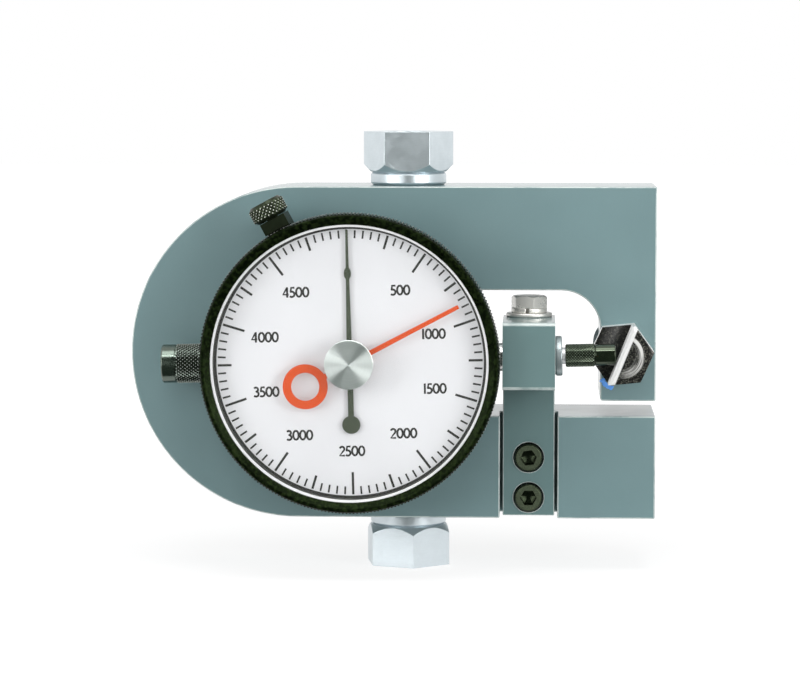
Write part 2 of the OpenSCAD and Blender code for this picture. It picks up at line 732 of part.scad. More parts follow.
// Plate and pillars of the movement
plate_r = 30;
guide_x = -20;
guide_pin_d = 1.5;
guide_slot_left = guide_x - travel - guide_pin_d;
centre_front_d = 2.6;
centre_tip_d = 1.6;
module at_gear_axis(side, out) facing(dial_x + side * rack_axis_dx, side * rack_axis_z, out) children();
module movement_plate() color([0.72, 0.6, 0.35]) difference() {
    at_dial(plate_back) cylinder(r = plate_r, h = plate_t);
    at_dial(plate_back - cut) cylinder(d = arbor_d + 2 * run_gap, h = plate_t + 2 * cut);
    at_gear_axis(1, plate_back - cut) cylinder(d = arbor_d + 2 * run_gap, h = plate_t + 2 * cut);
    at_gear_axis(-1, plate_back - cut) cylinder(d = arbor_d + 2 * run_gap, h = plate_t + 2 * cut);
    at_pillars(plate_back - cut) cylinder(d = movement_screw_d + 2 * thread_gap, h = plate_t + 2 * cut);
    guide_w = guide_pin_d + 2 * run_gap;
    facing(dial_x + guide_slot_left, -guide_w / 2, plate_back - cut)
        cube([travel + 2 * guide_pin_d, guide_w, plate_t + 2 * cut]);
    window_h = collar_d + 2 * inner_gap;
    facing(dial_x - plate_r - cut, -window_h / 2, plate_back - cut)
        cube([plate_r + cut + window_right, window_h, plate_t + 2 * cut]);
}
module movement_pillars() color([0.72, 0.6, 0.35]) at_pillars(plate_front)
    ring(pillar_r, movement_screw_d / 2 + thread_gap, web_back - plate_front);
module movement_screws() color([0.7, 0.7, 0.72]) at_pillars(plate_back) {
    cylinder(d = movement_screw_d, h = web_back - plate_back + web_t);
    translate([0, 0, -movement_head_h]) cylinder(d = movement_head_d, h = movement_head_h);
}

// Small bracket that carries the rear pivot of the rack's pinion
cock_t = 1.2;
cock_w = 5;
cock_foot = 4;
cock_room = 3;
cock_back = axis_out - spindle_d / 2 - inner_gap - cock_t;
module pinion_cock() color([0.72, 0.6, 0.35]) difference() {
    low = rack_axis_z - cock_room - cock_foot;
    union() {
        facing(dial_x + rack_axis_dx - cock_w / 2, low, cock_back)
            cube([cock_w, cock_foot, plate_back - cock_back]);
        facing(dial_x + rack_axis_dx - cock_w / 2, low, cock_back)
            cube([cock_w, cock_foot + cock_room + arbor_d, cock_t]);
    }
    at_gear_axis(1, cock_back - cut) cylinder(d = arbor_d + 2 * run_gap, h = cock_t + 2 * cut);
}

// Compression spring round the spindle, between the rear bushing and the collar
collar_d = 8;
collar_w = 2;
window_wall = 1.5;
window_right = guide_slot_left - window_wall;
collar_x = dial_x + window_right - inner_gap - collar_w;
spring_r = 3.3;
spring_sides = 6;
spring_steps = 16;
spring_left = dial_x - case_inner_r + inner_gap;
spring_right = collar_x - inner_gap;
function spring_point(i) =
    let (turn = i / spring_steps, a = 360 * turn, wire_r = spring_wire_d / 2,
         run = spring_right - spring_left - spring_wire_d)
    [[spring_r * cos(a), spring_r * sin(a), wire_r + run * turn / spring_turns], a];
module return_spring() color([0.6, 0.6, 0.6]) {
    last = spring_steps * spring_turns;
    wire_r = spring_wire_d / 2;
    points = [for (i = [0 : last], k = [0 : spring_sides - 1])
        let (p = spring_point(i), b = 360 * k / spring_sides)
        p[0] + wire_r * [cos(b) * cos(p[1]), cos(b) * sin(p[1]), sin(b)]];
    sides = [for (i = [0 : last - 1], k = [0 : spring_sides - 1])
        let (a = i * spring_sides + k, b = i * spring_sides + (k + 1) % spring_sides)
        each [[a, b + spring_sides, b], [a, a + spring_sides, b + spring_sides]]];
    first_cap = [for (k = [1 : spring_sides - 2]) [0, k, k + 1]];
    n = last * spring_sides;
    last_cap = [for (k = [1 : spring_sides - 2]) [n, n + k + 1, n + k]];
    on_spindle(spring_left) polyhedron(points, concat(sides, first_cap, last_cap));
}

// Spindle with the rack cut into its underside
spindle_left = dial_x - case_r - rear_bushing_out - cap_end_t;
module spindle() color([0.7, 0.7, 0.72]) difference() {
    on_spindle(spindle_left) cylinder(d = spindle_d, h = grip_x - neck_len - spindle_left);
    rack_x = dial_x + rack_axis_dx + rack_lead * rack_pitch;
    rack_len = (rack_tooth_count + 1) * rack_pitch;
    translate([rack_x - rack_len, front_y - axis_out - spindle_d, center_z - spindle_d - rack_line - rack_tooth_size])
        cube([rack_len + rack_pitch, 2 * spindle_d, spindle_d]);
    for (i = [0 : rack_tooth_count]) facing(rack_x - i * rack_pitch, -rack_line, axis_out - spindle_d)
        linear_extrude(2 * spindle_d) rack_gap_outline();
    facing(dial_x + guide_x, 0, axis_out) cylinder(d = guide_pin_d, h = spindle_d);
}
module rack_gap_outline() {
    size = rack_tooth_size;
    polygon([
        [-(1 / 2 - root_share) * rack_pitch, foot_share * size],
        [-(1 / 2 - pitch_share) * rack_pitch, 0],
        [-(1 / 2 - tip_share) * rack_pitch, -size - rack_flat],
        [(1 / 2 - tip_share) * rack_pitch, -size - rack_flat],
        [(1 / 2 - pitch_share) * rack_pitch, 0],
        [(1 / 2 - root_share) * rack_pitch, foot_share * size]
    ]);
}
module spindle_collar() color([0.7, 0.7, 0.72]) difference() {
    on_spindle(collar_x) cylinder(d = collar_d, h = collar_w);
    on_spindle(collar_x - cut) cylinder(d = spindle_d, h = collar_w + 2 * cut);
}
module spindle_guide_pin() color([0.7, 0.7, 0.72])
    facing(dial_x + guide_x, 0, axis_out) cylinder(d = guide_pin_d, h = plate_front - axis_out);
module contact_point() color([0.08, 0.09, 0.08]) on_spindle(0) turned([
    [neck_d / 2, stem_right],
    [neck_d / 2, grip_x],
    [grip_d / 2, grip_x],
    [grip_d / 2, tip_x],
    [tip_d / 2, tip_x],
    [tip_d / 2, tip_end - tip_bevel],
    [tip_d / 2 - tip_bevel, tip_end]
]);

// Gears and arbors
module rack_pinion() color([0.72, 0.6, 0.35]) {
    pinion_back = axis_out - rack_pinion_len / 2;
    at_gear_axis(1, cock_back) cylinder(d = arbor_d, h = web_front - cock_back);
    at_gear_axis(1, pinion_back) rotate([0, 0, 90])
        linear_extrude(rack_pinion_len) gear_outline(rack_pinion_teeth, rack_tooth_size);
}
module train_gear() difference() {
    rotate([0, 0, mesh_angle]) linear_extrude(gear_t) gear_outline(gear_teeth, tooth_size);
    translate([0, 0, -cut]) cylinder(d = arbor_d, h = gear_t + 2 * cut);
}
module rack_gear() color([0.72, 0.6, 0.35]) at_gear_axis(1, gear_back) train_gear();
module takeup_gear() color([0.72, 0.6, 0.35]) at_gear_axis(-1, gear_back) rotate([0, 0, 180]) train_gear();
module takeup_arbor() color([0.7, 0.7, 0.72])
    at_gear_axis(-1, plate_back) cylinder(d = arbor_d, h = rim_front - plate_back - inner_gap);
module centre_arbor() color([0.7, 0.7, 0.72]) {
    pinion_len = web_back - plate_front - 2 * face_gap;
    front_len = dial_face - web_back + 2 * face_gap;
    at_dial(plate_back) cylinder(d = arbor_d, h = plate_t + cut);
    at_dial(plate_front + face_gap) rotate([0, 0, mesh_angle + 180 + 180 / centre_teeth])
        linear_extrude(pinion_len) gear_outline(centre_teeth, tooth_size);
    at_dial(web_back - 2 * face_gap) turned([
        [centre_front_d / 2, 0],
        [centre_front_d / 2, front_len],
        [centre_tip_d / 2, front_len],
        [centre_tip_d / 2, front_len + pointer_lift + pointer_t + pointer_hub_rise]
    ]);
}

// Flat spiral that holds the train to one side of its backlash
hairspring_turns = 5;
hairspring_steps = 16;
hairspring_t = 0.12;
hairspring_h = 0.6;
hairspring_r = 5.5;
hairspring_lift = 0.72;
hairspring_out = web_front + hairspring_lift;
function hairspring_point(i, side) =
    let (share = i / (hairspring_turns * hairspring_steps),
         r = arbor_d / 2 + hairspring_t / 2 + (hairspring_r - arbor_d / 2) * share + side * hairspring_t / 2)
    r * [cos(360 * i / hairspring_steps), sin(360 * i / hairspring_steps)];
module hairspring() color([0.5, 0.5, 0.6]) at_gear_axis(-1, hairspring_out) {
    last = hairspring_turns * hairspring_steps;
    linear_extrude(hairspring_h) polygon(concat(
        [for (i = [0 : last]) hairspring_point(i, 1)],
        [for (i = [last : -1 : 0]) hairspring_point(i, -1)]));
}
stud_r = 0.7;
module hairspring_stud() color([0.7, 0.7, 0.72]) at_gear_axis(-1, web_front)
    translate([hairspring_r + hairspring_t + stud_r, 0, 0])
        cylinder(r = stud_r, h = rim_front - web_front - inner_gap);

// Black pointer with its bead, hub and counterweight ball
module pointer() color([0.08, 0.08, 0.08]) difference() {
    union() {
        at_dial(pointer_back) {
            linear_extrude(pointer_t) {
                polygon([
                    [-pointer_w / 2, 0], [-pointer_tip_w / 2, pointer_len],
                    [pointer_tip_w / 2, pointer_len], [pointer_w / 2, 0]
                ]);
                translate([-pointer_w / 2, -tail_r]) square([pointer_w, tail_r]);
                translate([0, -tail_r]) circle(d = tail_d);
                translate([0, bead_r])
                    polygon([for (a = [0 : 15 : 345]) [bead_w / 2 * cos(a), bead_len / 2 * sin(a)]]);
            }
            translate([0, 0, -pointer_hub_rise])
                cylinder(d = pointer_hub_d, h = pointer_t + 2 * pointer_hub_rise);
        }
    }
    at_dial(dial_face) cylinder(d = centre_tip_d, h = bezel_rise);
}

// Bezel with everything that turns with it
module bezel_ring() color([0.08, 0.08, 0.08]) at_dial(0) rotate_extrude() polygon([
    [skirt_bore_r, skirt_back],
    [bezel_r - bezel_bevel / 2, skirt_back],
    [bezel_r, skirt_back + bezel_bevel / 2],
    [bezel_r, bezel_front - bezel_bevel],
    [bezel_r - bezel_bevel, bezel_front],
    [window_r + bezel_slope_w, bezel_front],
    [window_r, bezel_front - bezel_slope_h],
    [window_r, dial_face],
    [skirt_bore_r, dial_face]
]);
module bezel_retaining_ring() color([0.6, 0.6, 0.6])
    at_dial(retaining_front - retaining_t) ring(skirt_bore_r, skirt_bore_r - retaining_w, retaining_t);
module crystal() color([0.9, 0.95, 1, 0.3]) at_dial(crystal_back) ring(window_r, knob_shaft_d / 2 + run_gap, crystal_t);
module crystal_spacer() color([0.85, 0.85, 0.86]) at_dial(dial_face)
    ring(window_r, window_r - spacer_w, crystal_back - dial_face);
module dial_plate() color([0.93, 0.94, 0.95]) at_dial(dial_back) ring(skirt_bore_r, dial_hole_d / 2, dial_t);

// Orange hand that stays at the highest reading, with its knob and friction washer
max_hub_d = 8.4;
max_hub_t = 1.3;
max_hub_drop = 0.3;
max_shaft_back = max_back - max_hub_drop;
module max_hand() color([0.93, 0.33, 0.15]) at_dial(max_back) rotate([0, 0, max_angle]) difference() {
    union() {
        linear_extrude(max_t) {
            polygon([
                [0, -max_w / 2], [max_len, -max_tip_w / 2],
                [max_len, max_tip_w / 2], [0, max_w / 2]
            ]);
            difference() {
                union() {
                    translate([-max_ring_r, 0]) circle(d = max_ring_d);
                    translate([-max_ring_r, -max_w / 2]) square([max_ring_r, max_w]);
                }
                translate([-max_ring_r, 0]) circle(d = max_ring_hole_d);
            }
        }
        translate([0, 0, -max_hub_drop]) cylinder(d = max_hub_d, h = max_hub_t);
    }
    translate([0, 0, -cut]) cylinder(d = knob_shaft_d, h = max_hub_t + 2 * cut);
}
module friction_washer() color([0.72, 0.6, 0.35])
    at_dial(crystal_back - face_gap - washer_t) ring(max_hub_d / 2, knob_shaft_d / 2, washer_t);
module reset_knob() color([0.8, 0.8, 0.82]) {
    knob_back = crystal_front + face_gap;
    at_dial(0) turned([
        [knob_shaft_d / 2, max_shaft_back],
        [knob_shaft_d / 2, knob_back],
        [knob_d / 2, knob_back],
        [knob_d / 2, knob_back + knob_h - knob_bevel],
        [knob_d / 2 - knob_bevel, knob_back + knob_h]
    ]);
}

// Lug on the case that reaches over the bezel's rim, and its thumb screw
lock_out = skirt_back + rim_t;
lug_outer_r = bezel_r + inner_gap + lug_reach;
lug_back = cover_front + cover_t;
lug_front = lock_out + lug_w / 2;
module at_lock(r) facing(dial_x, 0, lock_out) rotate([0, 0, lock_angle])
    rotate([0, 90, 0]) translate([0, 0, r]) children();
module bezel_clamp_lug() color([0.7, 0.7, 0.7]) difference() {
    at_dial(lug_back) rotate([0, 0, lock_angle]) translate([0, -lug_w / 2, 0])
        cube([lug_outer_r, lug_w, lug_front - lug_back]);
    at_dial(lug_back - cut) cylinder(r = case_r, h = skirt_back - inner_gap - lug_back + cut);
    at_dial(skirt_back - inner_gap) cylinder(r = bezel_r + inner_gap, h = bezel_front);
    at_lock(case_r) cylinder(d = thumb_screw_d + 2 * thread_gap, h = lug_outer_r);
}
module bezel_lock_screw() color([0.08, 0.08, 0.08]) {
    head_low = lug_outer_r + face_gap;
    head_top = head_low + thumb_len;
    at_lock(0) turned([
        [thumb_screw_d / 2, bezel_r + face_gap],
        [thumb_screw_d / 2, head_low],
        [thumb_d / 2 - thumb_bevel, head_low],
        [thumb_d / 2, head_low + thumb_bevel],
        [thumb_d / 2, head_top - thumb_bevel],
        [thumb_d / 2 - thumb_bevel, head_top]
    ]);
}

// Cap over the spindle's far end
module dust_cap() color([0.1, 0.1, 0.09]) {
    left = dial_x - bezel_r - cap_out;
    cap_right = dial_x - bezel_r - inner_gap;
    bore_len = cap_right - left - cap_end_t;
    difference() {
        on_spindle(left) turned([
            [cap_plain_d / 2 - tip_bevel, 0],
            [cap_plain_d / 2, tip_bevel],
            [cap_plain_d / 2, cap_plain_len],
            [cap_d / 2, cap_plain_len],
            [cap_d / 2, cap_right - left]
        ]);
        on_spindle(left + cap_end_t) cylinder(d = rear_bushing_d + 2 * run_gap, h = bore_len + cut);
    }
}

deflection_frame();
upper_load_adapter();
lower_load_adapter();
bracket_post();
bracket_screws();
stem_clamp_block();
clamp_bolt();
clamp_lock_washer();
clamp_flat_washer();
tilted() stem_bushing();
calibration_cam();
cam_lock_washer();
cam_lock_nut();
tilted() indicator_case();
tilted() case_back_cover();
tilted() back_cover_screws();
tilted() indicator_stem();
tilted() spindle_rear_bushing();
tilted() movement_plate();
tilted() movement_pillars();
tilted() movement_screws();
tilted() pinion_cock();
tilted() return_spring();
tilted() hairspring();
tilted() hairspring_stud();
tilted() spindle();
tilted() contact_point();
tilted() spindle_collar();
tilted() spindle_guide_pin();
tilted() rack_pinion();
tilted() rack_gear();
tilted() centre_arbor();
tilted() pointer();
tilted() takeup_arbor();
tilted() takeup_gear();
tilted() bezel_ring();
tilted() crystal();
tilted() crystal_spacer();
tilted() dial_plate();
tilted() bezel_retaining_ring();
tilted() max_hand();
tilted() reset_knob();
tilted() friction_washer();
tilted() bezel_clamp_lug();
tilted() bezel_lock_screw();
tilted() dust_cap();
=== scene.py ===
"""Looks of the analog dynamometer: painted spring frame, plated load adapters and a dial indicator."""

import math

import bmesh
import bpy
from mathutils import Matrix, Vector


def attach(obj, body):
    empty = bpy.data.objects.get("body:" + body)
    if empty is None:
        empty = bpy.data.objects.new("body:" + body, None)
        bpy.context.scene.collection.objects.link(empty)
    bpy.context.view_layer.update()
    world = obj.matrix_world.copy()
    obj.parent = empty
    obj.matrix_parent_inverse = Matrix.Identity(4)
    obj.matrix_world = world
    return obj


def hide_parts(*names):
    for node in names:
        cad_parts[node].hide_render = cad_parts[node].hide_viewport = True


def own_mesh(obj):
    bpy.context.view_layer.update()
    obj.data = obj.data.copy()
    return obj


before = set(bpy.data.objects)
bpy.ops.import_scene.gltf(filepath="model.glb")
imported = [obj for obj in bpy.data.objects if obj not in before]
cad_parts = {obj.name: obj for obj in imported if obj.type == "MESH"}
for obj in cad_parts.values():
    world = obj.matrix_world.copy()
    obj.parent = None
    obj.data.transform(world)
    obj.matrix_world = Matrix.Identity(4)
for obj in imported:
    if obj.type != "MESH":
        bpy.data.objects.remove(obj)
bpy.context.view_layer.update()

MM = 0.001

# Places in millimetres that the pieces share. Depths count forwards from the frame's painted front face.
FRONT_Y = -19.05
AXIS_Z = 75.65
POST_X = 42.2
BOLT_DEPTH = -8.2
SPINDLE_DEPTH = 11
LOCK_DEPTH = 19.2125

# Angles in degrees: the lock screw's from the dial's right, and the indicator's rise in its clamp
LOCK_ANGLE = 118.3
TILT = 1.4

# Radii and depths of the dial's parts
BEZEL_BACK, BEZEL_FRONT = 16.6125, 28.2125
DIAL_BACK, DIAL_FACE, PRINT_DEPTH = 20.1625, 20.8625, 20.88
# Depths of the thin dark ring at the dial's edge, a painted shadow of the gap under the spacer
SHADOW_RING_BACK, SHADOW_RING_FACE = 20.86, 20.9
SPACER_FACE, CRYSTAL_BACK, CRYSTAL_MIDDLE = 25.4125, 25.42, 27.2125
KNOB_BACK, KNOB_SEAT, KNOB_FACE = 23.6625, 27.3125, 29.9
WINDOW_RADIUS, SPACER_RADIUS, CRYSTAL_RADIUS, HAND_HOLE_RADIUS = 46.9, 46.05, 46.85, 3.2

# Unit vectors along the tilted stem and square to it
ALONG_STEM = (math.cos(math.radians(TILT)), 0, math.sin(math.radians(TILT)))
ABOVE_STEM = (-ALONG_STEM[2], 0, ALONG_STEM[0])


def on_stem(x):
    """Place on the stem's tilted axis by its distance from the frame's load axis."""
    reach = POST_X - x
    return POST_X - reach * ALONG_STEM[0], AXIS_Z - reach * ALONG_STEM[2]


DIAL_X, DIAL_Z = on_stem(-18.1)
ON_DIAL_AXIS = (DIAL_X, FRONT_Y, DIAL_Z)
ON_BOLT = (POST_X, FRONT_Y - BOLT_DEPTH, 0)
CAM_CENTRE = (73.6, 0, AXIS_Z + 0.6)
CAM_SLANT = math.radians(22)


def carried(across, up, along, origin):
    """Matrix that takes a piece drawn in millimetres about its own axis to its place in metres."""
    rows = [[across[i], up[i], along[i], origin[i]] for i in range(3)]
    return Matrix.Scale(MM, 4) @ Matrix(rows + [[0, 0, 0, 1]])


STEM_ORIGIN = (on_stem(0)[0], FRONT_Y - SPINDLE_DEPTH, on_stem(0)[1])
LOCK_ORIGIN = (DIAL_X, FRONT_Y - LOCK_DEPTH, DIAL_Z)
LOCK_RISE, LOCK_RUN = math.sin(math.radians(LOCK_ANGLE)), math.cos(math.radians(LOCK_ANGLE))
ON_DIAL = carried(ALONG_STEM, ABOVE_STEM, (0, -1, 0), ON_DIAL_AXIS)
ON_SPINDLE = carried((0, 1, 0), ABOVE_STEM, ALONG_STEM, STEM_ORIGIN)
ON_LOCK = carried((0, -1, 0), (LOCK_RISE, 0, -LOCK_RUN), (LOCK_RUN, 0, LOCK_RISE), LOCK_ORIGIN)


# Meshes

def meshed(bm, name):
    """Closes a drawn shape, points its faces outwards and returns it as a mesh."""
    bmesh.ops.remove_doubles(bm, verts=bm.verts, dist=1e-5)
    bmesh.ops.recalc_face_normals(bm, faces=bm.faces)
    mesh = bpy.data.meshes.new(name)
    bm.to_mesh(mesh)
    bm.free()
    return mesh


def evaluated(thing):
    """Plain mesh of an object with its modifiers applied; the object is taken away."""
    graph = bpy.context.evaluated_depsgraph_get()
    mesh = bpy.data.meshes.new_from_object(thing.evaluated_get(graph), depsgraph=graph)
    bpy.data.objects.remove(thing)
    return mesh


def on_bench(mesh):
    """Object that carries a mesh while it is worked on."""
    thing = bpy.data.objects.new("bench_piece", mesh)
    bpy.context.scene.collection.objects.link(thing)
    return thing


def settled(mesh, angle=38):
    """Smooth shading that keeps flat faces flat and keen edges keen."""
    mesh.polygons.foreach_set("use_smooth", [True] * len(mesh.polygons))
    mesh.set_sharp_from_angle(angle=math.radians(angle))
    thing = on_bench(mesh)
    even = thing.modifiers.new("even_normals", "WEIGHTED_NORMAL")
    even.keep_sharp = True
    even.weight = 60
    return evaluated(thing)


KEEN_ANGLE = math.radians(30)


def softened(node, width_mm, held_back):
    """Copy of a CAD solid whose keen outer edges are broken, as a file or the paint leaves them.

    Where it is held back, the width shrinks all over to what the smallest face allows."""
    bm = bmesh.new()
    bm.from_mesh(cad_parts[node].data)
    bmesh.ops.remove_doubles(bm, verts=bm.verts, dist=2e-6)
    bmesh.ops.dissolve_limit(bm, angle_limit=math.radians(0.6), verts=bm.verts, edges=bm.edges)
    bm.normal_update()
    keen = [
        e for e in bm.edges
        if e.is_manifold and e.is_convex and e.calc_face_angle(0) > KEEN_ANGLE
    ]
    bmesh.ops.bevel(
        bm, geom=keen, offset=width_mm * MM, offset_type="OFFSET", segments=2,
        profile=0.5, affect="EDGES", clamp_overlap=held_back,
    )
    mesh = bpy.data.meshes.new(node + "_softened")
    bm.to_mesh(mesh)
    bm.free()
    return settled(mesh)


ALMOST_STRAIGHT = math.radians(168)


def eased(outline, width, ring=False):
    """An outline with its corners rounded over the given width; a ring's outline closes on itself."""
    count = len(outline)
    points = []
    for i, corner in enumerate(outline):
        here = Vector(corner)
        if not ring and i in (0, count - 1):
            points.append(here)
            continue
        back = Vector(outline[i - 1]) - here
        on = Vector(outline[(i + 1) % count]) - here
        if back.angle(on) > ALMOST_STRAIGHT:
            points.append(here)
            continue
        reach = min(width, 0.45 * back.length, 0.45 * on.length)
        start = here + back.normalized() * reach
        end = here + on.normalized() * reach
        for share in (0, 0.25, 0.5, 0.75, 1):
            points.append(start.lerp(here, share).lerp(here.lerp(end, share), share))
    return [tuple(p) for p in points]


UV_RUN_MM = 40


def spun(outline, steps=128, ring=False):
    """Turned piece by its outline of radius and height, with its turn and run kept as a UV map."""
    bm = bmesh.new()
    turn_map = bm.loops.layers.uv.new("turn")
    rows = []
    for radius, height in outline:
        if radius < 1e-6:
            rows.append([bm.verts.new((0, 0, height))] * steps)
        else:
            rows.append([
                bm.verts.new((
                    radius * math.cos(2 * math.pi * step / steps),
                    radius * math.sin(2 * math.pi * step / steps),
                    height,
                )) for step in range(steps)
            ])
    run = 0
    last = len(rows) if ring else len(rows) - 1
    for k in range(last):
        low, high = rows[k], rows[(k + 1) % len(rows)]
        span = (Vector(outline[(k + 1) % len(rows)]) - Vector(outline[k])).length
        for step in range(steps):
            after = (step + 1) % steps
            corners = list(dict.fromkeys((low[step], low[after], high[after], high[step])))
            if len(corners) < 3:
                continue
            face = bm.faces.new(corners)
            for loop in face.loops:
                turn = step if loop.vert in (low[step], high[step]) else step + 1
                along = run if loop.vert in (low[step], low[after]) else run + span
                loop[turn_map].uv = (turn / steps, along / UV_RUN_MM)
        run += span
    return meshed(bm, "turned")


def together(*meshes):
    """One mesh of several."""
    bm = bmesh.new()
    for mesh in meshes:
        bm.from_mesh(mesh)
    joined = bpy.data.meshes.new("joined")
    bm.to_mesh(joined)
    bm.free()
    return joined


def laid(mesh, place):
    """The mesh at its place."""
    mesh.transform(place)
    return mesh


# Node trees

class Web:
    """Adds nodes to a tree and joins them."""

    def __init__(self, tree):
        self.tree = tree

    def add(self, kind, inputs=None, **settings):
        """New node, with its settings and its inputs by name or number."""
        node = self.tree.nodes.new(kind)
        for key, value in settings.items():
            setattr(node, key, value)
        for key, value in (inputs or {}).items():
            self.feed(node.inputs[key], value)
        return node

    def feed(self, socket, value):
        """Joins a socket to another, or gives it a plain value."""
        if isinstance(value, bpy.types.NodeSocket):
            self.tree.links.new(value, socket)
        elif value is not None:
            socket.default_value = value

    def math(self, operation, *values, clamp=False):
        """Result of a sum on numbers."""
        inputs = dict(enumerate(values))
        return self.add("ShaderNodeMath", inputs, operation=operation, use_clamp=clamp).outputs[0]

    def times(self, first, *others, clamp=False):
        """Product of numbers."""
        for other in others:
            first = self.math("MULTIPLY", first, other, clamp=clamp)
        return first

    def scaled(self, value, scale, start):
        """A value times a scale, plus a start."""
        return self.math("MULTIPLY_ADD", value, scale, start)

    def vector(self, operation, *values):
        """Result of a sum on vectors."""
        node = self.add("ShaderNodeVectorMath", operation=operation)
        for i, value in enumerate(values):
            socket = node.inputs["Scale"] if operation == "SCALE" and i == 1 else node.inputs[i]
            self.feed(socket, value)
        return node.outputs["Value" if operation in ("LENGTH", "DOT_PRODUCT") else "Vector"]

    def parts(self, vector):
        """X, Y and Z of a vector."""
        return self.add("ShaderNodeSeparateXYZ", {0: vector}).outputs

    def made_of(self, *parts):
        """Vector of its X, Y and Z; those left out are zero."""
        return self.add("ShaderNodeCombineXYZ", dict(enumerate(parts))).outputs[0]

    def on_circle(self, angle, radius, *height):
        """Place on a circle about Z."""
        across = self.times(self.math("COSINE", angle), radius)
        return self.made_of(across, self.times(self.math("SINE", angle), radius), *height)

    def noise(self, place, scale, detail=2.0, roughness=0.5, distortion=0.0):
        """Cloudy pattern, from 0 to 1."""
        node = self.add("ShaderNodeTexNoise", {
            "Vector": place, "Scale": scale, "Detail": detail,
            "Roughness": roughness, "Distortion": distortion,
        })
        return node.outputs["Fac"]

    def spread(self, value, low, high, to_low=0.0, to_high=1.0):
        """A value's run from low to high, spread over another run and held at its ends."""
        return self.add("ShaderNodeMapRange", {
            "Value": value, "From Min": low, "From Max": high, "To Min": to_low, "To Max": to_high,
        }).outputs["Result"]

    def blend(self, share, first, second):
        """Colour between two, with the share that the second has."""
        node = self.add("ShaderNodeMix", data_type="RGBA")
        self.feed(node.inputs[0], share)
        self.feed(node.inputs[6], first)
        self.feed(node.inputs[7], second)
        return node.outputs[2]

    def group(self, tree, inputs):
        """Outputs of a node group placed in this tree."""
        node = self.tree.nodes.new(self.tree.bl_idname.replace("Tree", "Group"))
        node.node_tree = tree
        for key, value in inputs.items():
            self.feed(node.inputs[key], value)
        return node.outputs


def new_tree(name, kind, takes, gives):
    """Node group with named sockets: an input's number is its default, and a word is a socket's kind."""
    tree = bpy.data.node_groups.new(name, kind)
    for label, value in takes.items():
        number = isinstance(value, (int, float))
        socket = type(value).__name__.title() if number else value
        made = tree.interface.new_socket(label, in_out="INPUT", socket_type="NodeSocket" + socket)
        if number:
            made.default_value = value
    for label, socket in gives.items():
        tree.interface.new_socket(label, in_out="OUTPUT", socket_type="NodeSocket" + socket)
    web = Web(tree)
    taken = web.add("NodeGroupInput").outputs
    given = web.add("NodeGroupOutput").inputs
    return web, taken, given


# Shader groups for effects that several finishes share

def shader_group(takes, *gives):
    """Makes the function under it, which feeds the named masks, into a node group of its name."""
    def made(draw):
        web, taken, given = new_tree(draw.__name__, "ShaderNodeTree", takes, dict.fromkeys(gives, "Float"))
        draw(web, taken, given)
        return web.tree
    return made


@shader_group({"Place": "Vector", "Dimple Size": 0.0012, "Speck Size": 0.0004}, "Skin", "Shade", "Specks")
def paint_skin(web, taken, given):
    """Sprayed paint: the dimpled skin, slow changes of shade and fine specks."""
    dimples = web.noise(taken["Place"], web.math("DIVIDE", 1.0, taken["Dimple Size"]), 2.0, 0.45)
    fine = web.noise(taken["Place"], web.math("DIVIDE", 1.0, taken["Speck Size"]), 3.0, 0.6)
    slow = web.noise(taken["Place"], 34.0, 3.0, 0.55)
    web.feed(given["Skin"], web.scaled(fine, 0.25, dimples))
    web.feed(given["Shade"], web.spread(slow, 0.25, 0.75))
    web.feed(given["Specks"], web.spread(fine, 0.62, 0.74))


@shader_group({"Place": "Vector", "Ring Size": 0.0002, "Waver": 0.02}, "Marks", "Streaks")
def turning_marks(web, taken, given):
    """Rings that a lathe tool leaves about the local Z axis, on faces and on barrels."""
    across, up, along = web.parts(taken["Place"])
    radius = web.vector("LENGTH", web.made_of(across, up))
    heading = web.math("ARCTAN2", up, across)
    tone = web.math("DIVIDE", 1.0, taken["Ring Size"])
    ringed = web.made_of(
        web.times(radius, tone),
        web.times(along, tone),
        web.times(web.math("SINE", heading), web.times(taken["Waver"], 10.0)),
    )
    web.feed(given["Marks"], web.noise(ringed, 1.0, 2.0, 0.6))
    web.feed(given["Streaks"], web.spread(web.noise(ringed, 0.33, 3.0, 0.7), 0.3, 0.7))


@shader_group({"Place": "Vector", "Width": 0.0005, "Patch Size": 0.004, "Amount": 0.6}, "Worn")
def edge_wear(web, taken, given):
    """Mask of the keen outer edges, broken up as handling wears them."""
    rounded = web.add("ShaderNodeBevel", {"Radius": taken["Width"]}, samples=4).outputs["Normal"]
    straight = web.add("ShaderNodeNewGeometry").outputs["Normal"]
    bend = web.math("SUBTRACT", 1.0, web.vector("DOT_PRODUCT", rounded, straight))
    edge = web.spread(bend, 0.03, 0.25)
    scale = web.math("DIVIDE", 1.0, taken["Patch Size"])
    patches = web.spread(web.noise(taken["Place"], scale, 4.0, 0.65), 0.42, 0.62)
    web.feed(given["Worn"], web.times(edge, patches, taken["Amount"], clamp=True))


@shader_group({"Place": "Vector", "Thin": 900.0, "Long": 45.0}, "Scratches")
def scratches(web, taken, given):
    """Thin scratches in two crossing directions."""
    masks = []
    for turn in (0.35, -0.9):
        turned = web.add("ShaderNodeVectorRotate", {
            "Vector": taken["Place"], "Angle": turn,
        }, rotation_type="Y_AXIS").outputs[0]
        along, across, deep = web.parts(turned)
        drawn = web.made_of(
            web.times(along, taken["Long"]),
            web.times(across, taken["Thin"]),
            web.times(deep, taken["Thin"]),
        )
        masks.append(web.spread(web.noise(drawn, 1.0, 1.0, 0.4), 0.68, 0.76))
    web.feed(given["Scratches"], web.math("MAXIMUM", masks[0], masks[1]))


@shader_group({"Place": "Vector", "Patch Size": 0.012}, "Smudges")
def smudges(web, taken, given):
    """Soft patches left by fingers and oil."""
    scale = web.math("DIVIDE", 1.0, taken["Patch Size"])
    web.feed(given["Smudges"], web.spread(web.noise(taken["Place"], scale, 4.0, 0.6, 0.6), 0.4, 0.68))


